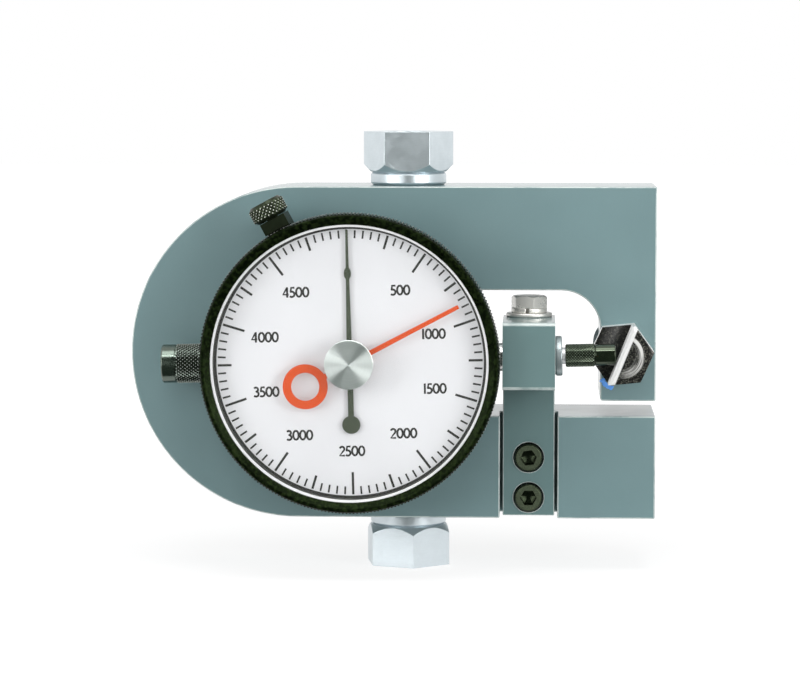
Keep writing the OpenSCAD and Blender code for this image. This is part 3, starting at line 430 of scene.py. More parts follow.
@shader_group({"Place": "Vector", "Crest Radius": 0.006, "Depth": 0.0002}, "Worn")
def worn_crests(web, taken, given):
    """Mask of what stands highest on a barrel about the local Z axis, where fingers rub it bright; its colour also
    serves as a painted highlight on the crests.
    """
    across, up, _ = web.parts(taken["Place"])
    rise = web.math("SUBTRACT", web.vector("LENGTH", web.made_of(across, up)), taken["Crest Radius"])
    crest = web.math("ADD", web.math("DIVIDE", rise, taken["Depth"]), 1.0, clamp=True)
    patches = web.spread(web.noise(taken["Place"], 700.0, 2.0, 0.5), 0.3, 0.6, 0.35, 1.0)
    web.feed(given["Worn"], web.times(crest, patches))


# Finishes

# Light colour of the paint's broken edges: partly wear of the paint, partly a painted highlight
WORN_PAINT_AND_EDGE_HIGHLIGHT = (0.55, 0.62, 0.60, 1)
WORN_AND_LIT_EDGE_OXIDE = (0.09, 0.10, 0.06, 1)
RUBBED_AND_LIT_OXIDE = (0.075, 0.092, 0.060, 1)


def finish(name):
    """New material with its web, its Principled shader and its Object coordinates."""
    material = bpy.data.materials.new(name)
    material.use_nodes = True
    web = Web(material.node_tree)
    shader = material.node_tree.nodes["Principled BSDF"]
    place = web.add("ShaderNodeTexCoord").outputs["Object"]
    return material, web, shader, place


def facing_y(web):
    """How far a face is turned along Y: -1 for one that looks straight forward."""
    return web.parts(web.add("ShaderNodeNewGeometry").outputs["True Normal"])[1]


def smudged(web, place, patch_size):
    """Mask of the patches that fingers and oil leave."""
    return web.group(smudges, {"Place": place, "Patch Size": patch_size})["Smudges"]


def surfaced(web, shader, colour, roughness, **others):
    """Gives a shader its colour, its roughness and what else is named."""
    looks = {"Base Color": colour, "Roughness": roughness}
    looks.update((name.replace("_", " "), value) for name, value in others.items())
    for name, value in looks.items():
        web.feed(shader.inputs[name], value)


def raised(web, shader, height, distance, strength):
    """Gives the shader a bump of the height."""
    bump = web.add("ShaderNodeBump", {"Height": height, "Distance": distance, "Strength": strength})
    web.feed(shader.inputs["Normal"], bump.outputs["Normal"])


def about(web, place, centre_mm, axis):
    """Coordinates centred on a piece, with their Z along its axis: "Y", or its rise from level in degrees."""
    moved = web.vector("SUBTRACT", place, tuple(MM * c for c in centre_mm))
    turn = (math.pi / 2, 0, 0) if axis == "Y" else (0, math.radians(axis - 90), 0)
    return web.add("ShaderNodeVectorRotate", {
        "Vector": moved, "Rotation": turn,
    }, rotation_type="EULER_XYZ").outputs[0]


def shade(colour, share):
    """Darker or lighter colour of the same hue."""
    return tuple(c * share for c in colour[:3]) + (1,)


def painted_blue_grey(name, colour):
    """Blue-grey sprayed paint, glossy enough to mirror the room where it is seen edge on.

    The broken edges between the front and the sides are painted lighter: partly wear of the paint, partly a painted
    highlight."""
    material, web, shader, place = finish(name)
    skin = web.group(paint_skin, {"Place": place, "Dimple Size": 0.0014, "Speck Size": 0.00045})
    faced = web.math("ABSOLUTE", facing_y(web))
    # Faces between the front and the sides, the broken edges, are painted lighter: wear and a painted highlight
    broken = web.times(web.spread(faced, 0.1, 0.2), web.spread(faced, 0.998, 0.985))
    wear_and_highlight = web.times(broken, web.spread(web.noise(place, 90.0, 4.0, 0.65), 0.34, 0.5, 0.35, 0.9))
    marks = smudged(web, place, 0.02)
    mottled = web.blend(skin["Shade"], shade(colour, 0.95), shade(colour, 1.05))
    specked = web.blend(web.times(skin["Specks"], 0.35), mottled, shade(colour, 1.25))
    painted = web.blend(wear_and_highlight, specked, WORN_PAINT_AND_EDGE_HIGHLIGHT)
    surfaced(web, shader, painted, web.scaled(marks, 0.08, 0.34), Coat_Weight=0.7, Coat_Roughness=0.1)
    raised(web, shader, skin["Skin"], 0.00003, 0.4)
    return material


def plated(name, colour, rough, centre_mm=(0, 0, 0), axis=90, ring_size=0.00016, metallic=1.0, sides=None):
    """Plated or ground metal with turning marks about its axis; a dull plating is less metallic.

    Where a colour is given for the sides, the faces that aren't turned forward or back have it, as a painted dark
    reflection."""
    material, web, shader, place = finish(name)
    own = about(web, place, centre_mm, axis)
    marks = web.group(turning_marks, {"Place": own, "Ring Size": ring_size, "Waver": 0.03})
    lines = web.group(scratches, {"Place": place, "Thin": 1400.0, "Long": 120.0})["Scratches"]
    patches = smudged(web, place, 0.006)
    tone = web.blend(marks["Streaks"], shade(colour, 0.94), colour)
    skin = web.blend(web.times(patches, 0.5), tone, shade(colour, 0.86))
    # Side faces take the given colour: a painted dark reflection
    if sides:
        skin = web.blend(web.spread(web.math("ABSOLUTE", facing_y(web)), 0.6, 0.3), skin, sides)
    roughness = web.scaled(patches, 0.08, web.scaled(lines, 0.12, rough))
    surfaced(web, shader, skin, roughness, Metallic=metallic)
    raised(web, shader, marks["Marks"], 0.000012, 0.6)
    return material


def blackened(
    name, colour=(0.004, 0.006, 0.003, 1), rough=0.27, worn_amount=0.3, gloss=0.42, ior=1.5, barrel=None,
    rubbed_and_lit_front=None, sheen=(0.78, 1.0, 0.6, 1), grain_fineness=2600.0, grain_depth=0.00001, mottled=None,
):
    """Black oxide on steel, with a greenish sheen; its edges and the crests of its knurl are painted lighter,
    partly as wear and partly as a painted highlight.

    A barrel is its centre in millimetres, its axis, the radius of its knurl's crests, how deep their lighter colour
    reaches and their colour. Faces turned forward are painted lighter where they lie before the given Y in
    millimetres, partly as wear and partly as a painted highlight. A mottled skin has patches of the given colour."""
    material, web, shader, place = finish(name)
    wear_and_highlight = web.group(edge_wear, {
        "Place": place, "Width": 0.0003, "Patch Size": 0.0022, "Amount": worn_amount,
    })["Worn"]
    patches = smudged(web, place, 0.005)
    grain = web.noise(place, grain_fineness, 2.0, 0.6)
    skin = web.blend(wear_and_highlight, web.blend(patches, colour, shade(colour, 1.8)), WORN_AND_LIT_EDGE_OXIDE)
    if barrel:
        centre, axis, crest_radius, rub_depth, crest_wear_and_highlight = barrel
        crests = web.group(worn_crests, {
            "Place": about(web, place, centre, axis), "Crest Radius": crest_radius * MM, "Depth": rub_depth * MM,
        })["Worn"]
        skin = web.blend(crests, skin, crest_wear_and_highlight)
    # Faces turned forward before the given depth are painted lighter: wear and a painted highlight
    if rubbed_and_lit_front:
        before = web.spread(web.parts(place)[1], rubbed_and_lit_front * MM + 0.0002, rubbed_and_lit_front * MM)
        forward = web.times(web.spread(facing_y(web), -0.9, -0.98), before)
        skin = web.blend(web.times(forward, web.spread(grain, 0.3, 0.6, 0.5, 1.0)), skin, RUBBED_AND_LIT_OXIDE)
    if mottled:
        skin = web.blend(web.spread(grain, 0.45, 0.62), skin, mottled)
    roughness = web.scaled(patches, 0.1, rough)
    surfaced(web, shader, skin, roughness, Specular_IOR_Level=gloss, IOR=ior, Specular_Tint=sheen)
    raised(web, shader, grain, grain_depth, 0.4)
    return material


def enamelled(name, colour, rough, coat=0.0, gloss=0.5):
    """Smooth stoved enamel."""
    material, web, shader, place = finish(name)
    skin = web.group(paint_skin, {"Place": place, "Dimple Size": 0.0011, "Speck Size": 0.0003})
    patches = smudged(web, place, 0.015)
    toned = web.blend(skin["Shade"], shade(colour, 0.97), shade(colour, 1.02))
    roughness = web.scaled(patches, 0.05, rough)
    surfaced(web, shader, toned, roughness, Coat_Weight=coat, Specular_IOR_Level=gloss)
    raised(web, shader, skin["Skin"], 0.00002, 0.35)
    return material


def turned_knob():
    """Fine-turned aluminium whose sheen fans out across the rings."""
    material, web, shader, place = finish("knob_aluminium")
    own = about(web, place, ON_DIAL_AXIS, "Y")
    marks = web.group(turning_marks, {"Place": own, "Ring Size": 0.00012, "Waver": 0.01})
    patches = smudged(web, place, 0.004)
    colour = (0.87, 0.93, 0.90, 1)
    toned = web.blend(marks["Streaks"], shade(colour, 0.95), colour)
    turn = web.add("ShaderNodeTangent", direction_type="UV_MAP", uv_map="turn").outputs[0]
    surfaced(
        web, shader, toned, web.scaled(patches, 0.03, 0.34), Metallic=1.0, Anisotropic=0.93,
        Anisotropic_Rotation=0.25, Tangent=turn)
    raised(web, shader, marks["Marks"], 0.000003, 0.3)
    return material


def turned_cam():
    """Ground steel of the cam with painted reflections: faces turned forward are painted near black, the slanted
    lip and the other faces painted bright, and the arcs of the tool's last cut are painted bright on the cam's
    right side only, as a highlight.
    """
    material, web, shader, place = finish("bright_steel_cam")
    own = about(web, place, CAM_CENTRE, "Y")
    marks = web.group(turning_marks, {"Place": own, "Ring Size": 0.0006, "Waver": 0.05})
    across, up, depth = web.parts(own)
    radius = web.vector("LENGTH", web.made_of(across, up))
    window = web.times(web.spread(radius, 0.0042, 0.0062), web.spread(radius, 0.0079, 0.0073))
    # The arcs show on the cam's right side only: a painted highlight on the tool marks
    right = web.spread(web.math("DIVIDE", across, radius), -0.15, 0.45)
    raised_half = web.spread(depth, -0.030, -0.031)
    arcs = web.times(window, right, web.spread(marks["Marks"], 0.38, 0.58), raised_half)
    along = web.vector("DOT_PRODUCT", own, (math.cos(CAM_SLANT), math.sin(CAM_SLANT), 0.0))
    lip = web.times(web.spread(along, 0.0017, 0.0014), raised_half)
    # Faces turned forward are painted near black, the slanted lip and the other faces bright: painted reflections
    forward = web.spread(web.times(facing_y(web), -1.0), 0.80, 0.84)
    front = web.times(forward, web.math("SUBTRACT", 1.0, lip))
    less_below = web.spread(depth, -0.026, -0.030, 0.45, 1.0)
    specks = web.times(web.spread(web.noise(place, 1500.0, 3.0, 0.75), 0.5, 0.68), less_below)
    dark = web.blend(specks, (0.003, 0.003, 0.0025, 1), (0.16, 0.16, 0.13, 1))
    faces = web.blend(front, (0.92, 0.92, 0.91, 1), web.blend(arcs, dark, (0.78, 0.78, 0.75, 1)))
    surfaced(web, shader, faces, web.spread(front, 0.0, 1.0, 0.3, 0.35), Metallic=0.3)
    raised(web, shader, marks["Marks"], 0.000015, 0.5)
    return material


def clear_crystal():
    """Clear window; light for the dial passes it without bending."""
    material, web, shader, place = finish("crystal_glass")
    roughness = web.times(smudged(web, place, 0.02), 0.012)
    surfaced(web, shader, (1, 1, 1, 1), roughness, Transmission_Weight=1.0, IOR=1.46)
    rays = web.add("ShaderNodeLightPath").outputs
    passing = web.math("MAXIMUM", rays["Is Shadow Ray"], rays["Is Diffuse Ray"])
    clear = web.add("ShaderNodeBsdfTransparent").outputs[0]
    mixed = web.add("ShaderNodeMixShader", {0: passing, 1: shader.outputs[0], 2: clear}).outputs[0]
    web.feed(material.node_tree.nodes["Material Output"].inputs["Surface"], mixed)
    return material


FRAME_PAINT = painted_blue_grey("frame_paint", (0.155, 0.250, 0.260, 1))
# Darker copy of the frame paint for the post and the block: painted shade
SHADED_BRACKET_PAINT = painted_blue_grey("frame_paint_shaded_bracket", (0.120, 0.205, 0.205, 1))

ZINC = (0.63, 0.69, 0.72, 1)
STEEL = (0.63, 0.63, 0.62, 1)
NICKEL = (0.74, 0.73, 0.69, 1)
BRASS = (0.74, 0.53, 0.22, 1)
SILVER = (0.86, 0.87, 0.88, 1)
ZINC_PLATE = plated("zinc_plate", shade(ZINC, 1.08), 0.3, metallic=0.85)
ZINC_BOLT = plated("zinc_plate_bolt", shade(NICKEL, 1.12), 0.26, ON_BOLT, 90, 0.0001, metallic=0.45)
BLACK_OXIDE = blackened("black_oxide")
# The screws' lighter edges and front faces are partly wear, partly a painted highlight
BLACK_SCREW = blackened("black_oxide_screw", rough=0.22, worn_amount=0.5, rubbed_and_lit_front=FRONT_Y)
# The bezel's serration crests are painted light: a painted highlight on the rim
BLACK_BEZEL = blackened(
    "black_oxide_bezel", (0.001, 0.002, 0.0008, 1), worn_amount=0.02, gloss=0.06,
    sheen=(0.66, 1.0, 0.42, 1), grain_fineness=800.0, grain_depth=0.00012,
    mottled=(0.010, 0.017, 0.005, 1), barrel=(ON_DIAL_AXIS, "Y", 50.78, 0.25, (0.75, 0.76, 0.74, 1)))
# Light knurl crests of the cap, the contact point and the thumb screw: partly wear, partly a painted highlight
BLACK_CAP = blackened(
    "black_oxide_cap", rough=0.16, worn_amount=0.1, gloss=0.7, ior=1.9, sheen=(0.82, 1.0, 0.86, 1),
    barrel=(STEM_ORIGIN, TILT, 6.7, 0.1, (0.95, 0.97, 0.94, 1)))
BLACK_POINT = blackened(
    "black_oxide_point", rough=0.07, worn_amount=0.06, gloss=0.5, ior=1.7, sheen=(0.82, 1.0, 0.72, 1),
    barrel=(STEM_ORIGIN, TILT, 3.93, 0.08, (0.30, 0.37, 0.29, 1)))
BLACK_THUMB = blackened(
    "black_oxide_thumb", worn_amount=0.06, gloss=0.4,
    barrel=(LOCK_ORIGIN, LOCK_ANGLE, 6.36, 0.12, (0.95, 0.98, 0.90, 1)))
BRIGHT_STEEL = plated("bright_steel", STEEL, 0.2, STEM_ORIGIN, TILT, 0.00014)
SATIN_STEEL = plated("bright_steel_satin", (0.38, 0.43, 0.44, 1), 0.3, STEM_ORIGIN, TILT, 0.00014, metallic=0.6)
RING_STEEL = plated("bright_steel_ring", SILVER, 0.32, ON_DIAL_AXIS, "Y", metallic=0.45)
# The spacer's inner wall is painted near black: a painted dark reflection inside the bezel
SPACER_STEEL = plated(
    "bright_steel_spacer", SILVER, 0.32, ON_DIAL_AXIS, "Y", metallic=0.45, sides=(0.020, 0.024, 0.010, 1))
# The bright steel lug is coloured like dark oxide: painted shade under the thumb screw's head
SHADED_LUG_STEEL = blackened("bright_steel_lug_shaded", rough=0.4, worn_amount=0.1, gloss=0.2)
CAM_STEEL = turned_cam()
CASE_ENAMEL = enamelled("case_enamel", (0.011, 0.012, 0.012, 1), 0.32)
MOVEMENT_BRASS = plated("movement_brass", BRASS, 0.3, ON_DIAL_AXIS, "Y", 0.0002)
MOVEMENT_STEEL = plated("movement_steel", shade(STEEL, 0.9), 0.25, ON_DIAL_AXIS, "Y", 0.0002)
KNOB_ALUMINIUM = turned_knob()
DIAL_WHITE = enamelled("dial_white", (0.72, 0.73, 0.75, 1), 0.4)
HAND_BLACK = enamelled("hand_black", (0.030, 0.044, 0.020, 1), 0.4, gloss=0.2)
HAND_ORANGE = enamelled("hand_orange", (0.63, 0.066, 0.001, 1), 0.45, gloss=0.05)
CRYSTAL_GLASS = clear_crystal()
DIAL_INK = enamelled("dial_ink", (0.006, 0.007, 0.004, 1), 0.5, gloss=0.15)
BLUE_LACQUER = enamelled("blue_lacquer", (0.13, 0.37, 0.92, 1), 0.25, 0.3)

SLOTS = {
    "frame_paint": FRAME_PAINT, "zinc_plate": ZINC_PLATE, "black_oxide": BLACK_OXIDE,
    "bright_steel": BRIGHT_STEEL, "case_enamel": CASE_ENAMEL, "movement_brass": MOVEMENT_BRASS,
    "movement_steel": MOVEMENT_STEEL, "knob_aluminium": KNOB_ALUMINIUM, "dial_white": DIAL_WHITE,
    "hand_black": HAND_BLACK, "hand_orange": HAND_ORANGE, "crystal_glass": CRYSTAL_GLASS,
}


# Pieces that repeat, grown by geometry nodes

def growth(takes):
    """Makes the function under it, which gives instances, into a geometry tree of its name.

    Beside its named sizes the tree takes a geometry to start from and a material for all of it."""
    def made(draw):
        inputs = {"Start": "Geometry", **takes, "Finish": "Material"}
        web, taken, given = new_tree(draw.__name__, "GeometryNodeTree", inputs, {"Grown": "Geometry"})
        real = web.add("GeometryNodeRealizeInstances", {0: draw(web, taken)}).outputs[0]
        done = web.add("GeometryNodeSetMaterial", {"Geometry": real, "Material": taken["Finish"]}).outputs[0]
        web.feed(given["Grown"], done)
        return web.tree
    return made


def turn_share(web, number, count):
    """Angle of one of a number of equal steps round a circle."""
    return web.math("DIVIDE", web.times(number, 2 * math.pi), count)


def row_of_points(web, count, positions):
    """Points at the places that a field gives by their index."""
    line = web.add("GeometryNodeMeshLine", {"Count": count}).outputs[0]
    return web.add("GeometryNodeSetPosition", {"Geometry": line, "Position": positions}).outputs[0]


def set_on(web, points, thing, angle, lean=0.0, **scale):
    """Copies of a thing on points, each turned about Z."""
    inputs = {"Points": points, "Instance": thing, "Rotation": web.made_of(0.0, lean, angle)}
    inputs.update(scale)
    return web.add("GeometryNodeInstanceOnPoints", inputs).outputs[0]


@growth({"Columns": 40, "Rows": 8, "Radius": 6.0, "Foot": 0.0, "Length": 5.0, "Point Height": 0.3})
def diamond_knurl(web, taken):
    """Diamond knurl: staggered rows of small four-sided points on a barrel about Z."""
    index = web.add("GeometryNodeInputIndex").outputs[0]
    column = web.math("MODULO", index, taken["Columns"])
    row = web.math("FLOOR", web.math("DIVIDE", web.math("ADD", index, 0.5), taken["Columns"]))
    shift = web.times(web.math("MODULO", row, 2.0), 0.5)
    angle = turn_share(web, web.math("ADD", column, shift), taken["Columns"])
    step = web.math("DIVIDE", taken["Length"], web.math("ADD", taken["Rows"], 1.0))
    height = web.scaled(web.math("ADD", row, 1.0), step, taken["Foot"])
    spot = web.on_circle(angle, taken["Radius"], height)
    points = row_of_points(web, web.times(taken["Columns"], taken["Rows"]), spot)
    point = web.add("GeometryNodeMeshCone", {
        "Vertices": 4, "Radius Top": 0.12, "Radius Bottom": 1.0, "Depth": 1.0,
    }, fill_type="NGON").outputs["Mesh"]
    half_width = web.math("DIVIDE", web.times(taken["Radius"], math.pi), taken["Columns"])
    size = web.made_of(step, half_width, taken["Point Height"])
    return set_on(web, points, point, angle, math.pi / 2, Scale=size)


@growth({"Teeth": 200, "Radius": 50.0, "Foot": 0.0, "Length": 5.0, "Tooth Height": 0.4, "Tooth Width": 0.5})
def rim_serrations(web, taken):
    """Straight serrations round a rim about Z."""
    index = web.add("GeometryNodeInputIndex").outputs[0]
    angle = turn_share(web, index, taken["Teeth"])
    middle = web.scaled(taken["Length"], 0.5, taken["Foot"])
    points = row_of_points(web, taken["Teeth"], web.on_circle(angle, taken["Radius"], middle))
    prism = web.add("GeometryNodeMeshCylinder", {
        "Vertices": 3, "Radius": 1.0, "Depth": 1.0,
    }, fill_type="NGON").outputs["Mesh"]
    size = web.made_of(taken["Tooth Height"], taken["Tooth Width"], taken["Length"])
    return set_on(web, points, prism, angle, Scale=size)


@growth({
    "Divisions": 100, "Outer Radius": 44.7, "Short": 2.7, "Middle": 4.7, "Long": 7.6, "Line": 0.6,
    "Bold Line": 0.8, "Ink": 0.04,
})
def dial_marks(web, taken):
    """Division lines round the dial: long at each tenth, middling at each fifth."""
    index = web.add("GeometryNodeInputIndex").outputs[0]
    tenth = web.math("COMPARE", web.math("MODULO", index, 10.0), 0.0, 0.1)
    fifth = web.math("COMPARE", web.math("MODULO", index, 5.0), 0.0, 0.1)

    def more(share, least, most, start=None):
        """Size that grows by the difference of two named ones."""
        start = taken[least] if start is None else start
        return web.scaled(share, web.math("SUBTRACT", taken[most], taken[least]), start)

    length = more(tenth, "Middle", "Long", more(fifth, "Short", "Middle"))
    angle = web.math("SUBTRACT", math.pi / 2, turn_share(web, index, taken["Divisions"]))
    radius = web.scaled(length, -0.5, taken["Outer Radius"])
    points = row_of_points(web, taken["Divisions"], web.on_circle(angle, radius))
    bar = web.add("GeometryNodeMeshCube", {"Size": (1, 1, 1)}).outputs["Mesh"]
    size = web.made_of(length, more(fifth, "Line", "Bold Line"), taken["Ink"])
    return set_on(web, points, bar, angle, Scale=size)


@growth({"Line": 0.5, "Ink": 0.04})
def inked_strokes(web, taken):
    """Lines of ink along drawn strokes."""
    curve = web.add("GeometryNodeMeshToCurve", {0: taken["Start"]}).outputs[0]
    flat = web.add("GeometryNodeSetCurveNormal", {"Curve": curve}, mode="Z_UP")
    nib = web.add("GeometryNodeCurvePrimitiveQuadrilateral", {
        "Width": taken["Line"], "Height": taken["Ink"],
    }).outputs[0]
    drawn = web.add("GeometryNodeCurveToMesh", {
        "Curve": flat.outputs[0], "Profile Curve": nib, "Fill Caps": True,
    }).outputs[0]
    return drawn


@growth({"Count": 4, "Row Step": "Vector"})
def repeated_fastener(web, taken):
    """Row of one fastener, each copy turned as chance left it."""
    index = web.add("GeometryNodeInputIndex").outputs[0]
    points = row_of_points(web, taken["Count"], web.vector("SCALE", taken["Row Step"], index))
    spin = web.times(web.math("SINE", web.times(index, 7.3)), 2.6)
    return set_on(web, points, taken["Start"], spin)


def grown(tree, finish_material, start=None, **sizes):
    """Mesh that a geometry tree makes from its named sizes."""
    thing = on_bench(start or bpy.data.meshes.new("seed"))
    modifier = thing.modifiers.new("grown", "NODES")
    modifier.node_group = tree
    named = {item.name: item.identifier for item in tree.interface.items_tree if item.in_out == "INPUT"}
    for label, value in sizes.items():
        modifier[named[label.replace("_", " ")]] = value
    modifier[named["Finish"]] = finish_material
    return evaluated(thing)


# Pieces

def put(name, mesh, body, slot, material=None, replaced=()):
    """Sets a finished mesh into the scene on its body."""
    mesh.name = name
    mesh.materials.clear()
    mesh.materials.append(material or SLOTS[slot])
    mesh.polygons.foreach_set("material_index", [0] * len(mesh.polygons))
    piece = bpy.data.objects.new(name, mesh)
    bpy.context.scene.collection.objects.link(piece)
    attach(piece, body)
    if replaced:
        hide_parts(*replaced)
    return piece


def dress(slot, *nodes):
    """Gives CAD solids whose shape is right their finish."""
    for node in nodes:
        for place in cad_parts[node].material_slots:
            place.material = SLOTS[slot]


def put_softened(name, node, width_mm, slot, material=None, body="gauge", held_back=True):
    """Sets a CAD solid with broken edges in the place of its node."""
    put(name, softened(node, width_mm, held_back), body, slot, material, [node])


def frame_and_fittings():
    """Painted frame and bracket, plated load adapters, the clamp and the cam."""
    put_softened("painted_frame", "deflection_frame", 0.45, "frame_paint", held_back=False)
    put_softened("painted_post", "bracket_post", 0.3, "frame_paint", SHADED_BRACKET_PAINT, held_back=False)
    put_softened("painted_block", "stem_clamp_block", 0.25, "frame_paint", SHADED_BRACKET_PAINT)
    put_softened("upper_plated_adapter", "upper_load_adapter", 0.6, "zinc_plate")
    put_softened("lower_plated_adapter", "lower_load_adapter", 0.6, "zinc_plate")
    put_softened("bright_clamp_bolt", "clamp_bolt", 0.5, "zinc_plate", ZINC_BOLT)
    put_softened("split_washer", "clamp_lock_washer", 0.4, "zinc_plate", ZINC_BOLT)
    put_softened("plain_washer", "clamp_flat_washer", 0.4, "zinc_plate", ZINC_BOLT)
    put_softened("steel_bushing", "stem_bushing", 0.5, "bright_steel", SATIN_STEEL)
    put_softened("polished_cam", "calibration_cam", 0.18, "bright_steel", CAM_STEEL)
    put_softened("cam_nut", "cam_lock_nut", 0.2, "zinc_plate")
    dress("zinc_plate", "cam_lock_washer")


# Strokes of the brush: their middle in X and Z, half their size across and up, and their turn
LACQUER_STROKES = (
    (67.5, 66.4, 1.0, 0.8, 0.2), (68.2, 65.3, 1.3, 0.85, -0.8),
    (69.5, 64.4, 1.5, 0.85, -0.5), (70.4, 63.9, 0.9, 0.7, 0.5),
)
LACQUER_STEPS = 20


def lacquer_dab():
    """Dab of blue lacquer that shows if the cam has been turned."""
    bm = bmesh.new()
    for x, z, across, up, turn in LACQUER_STROKES:
        ring = []
        for step in range(LACQUER_STEPS):
            angle = 2 * math.pi * step / LACQUER_STEPS
            ragged = 1 + 0.12 * math.sin(3 * angle + x) + 0.08 * math.sin(7 * angle + z)
            dx, dz = across * ragged * math.cos(angle), up * ragged * math.sin(angle)
            ring.append((dx * math.cos(turn) - dz * math.sin(turn), dx * math.sin(turn) + dz * math.cos(turn)))
        rows = [
            [bm.verts.new((MM * (x + dx * share), MM * (FRONT_Y - rise), MM * (z + dz * share))) for dx, dz in ring]
            for share, rise in ((1.0, -0.05), (0.97, 0.08), (0.8, 0.17), (0.5, 0.22))
        ]
        for low, high in zip(rows, rows[1:]):
            for step in range(LACQUER_STEPS):
                after = (step + 1) % LACQUER_STEPS
                bm.faces.new((low[step], low[after], high[after], high[step]))
        bm.faces.new(rows[0])
        bm.faces.new(rows[-1])
    put("blue_lacquer_dab", settled(meshed(bm, "dab"), 60), "gauge", "frame_paint", BLUE_LACQUER)


def socket_screw():
    """Socket head cap screw, drawn from its seat with its head towards +Z."""
    head_r, head_h, socket_depth, flats = 4.765, 6.35, 4.6, 4.76
    shank_r, shank_len, chamfer, mouth_r = 3.12, 22.2, 0.45, 2.95
    shell = spun(eased([
        (0, -shank_len), (2.7, -shank_len), (shank_r, -21.6), (shank_r, 0.0), (head_r, 0.0),
        (head_r, head_h - chamfer), (head_r - chamfer, head_h), (mouth_r, head_h),
    ], 0.18), 96)
    bm = bmesh.new()
    bm.from_mesh(shell)
    inner = [
        v for v in bm.verts
        if abs(math.hypot(v.co.x, v.co.y) - mouth_r) < 0.01 and abs(v.co.z - head_h) < 0.01
    ]
    inner.sort(key=lambda v: math.atan2(v.co.y, v.co.x))
    rows = [inner]
    for flare, height in ((1.05, head_h), (1.0, head_h - 0.25), (1.0, head_h - socket_depth)):
        row = []
        for v in inner:
            turn = math.atan2(v.co.y, v.co.x)
            sector = (turn % (math.pi / 3)) - math.pi / 6
            radius = flats / 2 / math.cos(sector) * flare
            row.append(bm.verts.new((radius * math.cos(turn), radius * math.sin(turn), height)))
        rows.append(row)
    floor = bm.verts.new((0, 0, head_h - socket_depth - 1.0))
    count = len(inner)
    for low, high in zip(rows, rows[1:]):
        for i in range(count):
            bm.faces.new((low[i], low[(i + 1) % count], high[(i + 1) % count], high[i]))
    for i in range(count):
        bm.faces.new((rows[-1][i], rows[-1][(i + 1) % count], floor))
    return settled(meshed(bm, "socket_screw"), 40)


SCREW_SEAT, LOWER_SCREW, SCREW_PITCH = 6.1, 50.05, 13.9


def bracket_screws():
    """Two socket screws through the post, sunk in their counterbores."""
    pair = grown(repeated_fastener, BLACK_SCREW, socket_screw(), Count=2, Row_Step=(0.0, SCREW_PITCH, 0.0))
    seat = carried((1, 0, 0), (0, 0, 1), (0, -1, 0), (POST_X, FRONT_Y + SCREW_SEAT, AXIS_Z - LOWER_SCREW))
    put("socket_screws", laid(pair, seat), "gauge", "black_oxide", BLACK_SCREW, ["bracket_screws"])


def outer_indicator():
    """The indicator's case with what is fixed to it."""
    put_softened("enamelled_case", "indicator_case", 0.2, "case_enamel")
    put_softened("enamelled_cover", "case_back_cover", 0.3, "case_enamel")
    put_softened("steel_stem", "indicator_stem", 0.1, "bright_steel")
    put_softened("rear_bushing", "spindle_rear_bushing", 0.1, "movement_brass")
    put_softened("clamp_lug", "bezel_clamp_lug", 0.3, "bright_steel", SHADED_LUG_STEEL)
    dress("movement_steel", "back_cover_screws")


def put_on_dial(name, mesh, body, slot, material=None, replaced=()):
    """Sets a mesh drawn about the dial's middle into the scene."""
    put(name, laid(mesh, ON_DIAL), body, slot, material, replaced)


def square_ring(inner, outer, back, face):
    """Outline of a ring with a square section."""
    return [(inner, back), (outer, back), (outer, face), (inner, face)]


def bezel():
    """Black bezel with its serrated rim and its inner slope."""
    inner, rim, corner = 48.35, 50.35, 49.9
    ring = spun(eased([
        (inner, BEZEL_BACK), (corner, BEZEL_BACK), (rim, 17.1), (rim, 27.3), (corner, BEZEL_FRONT),
        (49.0, BEZEL_FRONT), (WINDOW_RADIUS, 27.0), (WINDOW_RADIUS, DIAL_FACE), (inner, DIAL_FACE),
    ], 0.3, ring=True), 256, ring=True)
    teeth = grown(
        rim_serrations, BLACK_OXIDE, Teeth=265, Radius=rim, Foot=16.95, Length=10.3,
        Tooth_Height=0.43, Tooth_Width=0.6,
    )
    serrated = together(settled(ring), teeth)
    put_on_dial("serrated_bezel", serrated, "bezel", "black_oxide", BLACK_BEZEL, ["bezel_ring"])


def crystal():
    """Slightly domed window with the hole for the orange hand's arbor."""
    rim = 26.55
    top = [
        (
            HAND_HOLE_RADIUS + (CRYSTAL_RADIUS - HAND_HOLE_RADIUS) * share,
            CRYSTAL_MIDDLE - (CRYSTAL_MIDDLE - rim) * share ** 2.2,
        )
        for share in (1, 0.97, 0.92, 0.85, 0.75, 0.6, 0.45, 0.3, 0.15, 0)
    ]
    outline = [(CRYSTAL_RADIUS, CRYSTAL_BACK)] + top + [(HAND_HOLE_RADIUS, CRYSTAL_BACK)]
    window = settled(spun(outline, 192, ring=True), 30)
    put_on_dial("crystal_window", window, "bezel", "crystal_glass", None, ["crystal"])


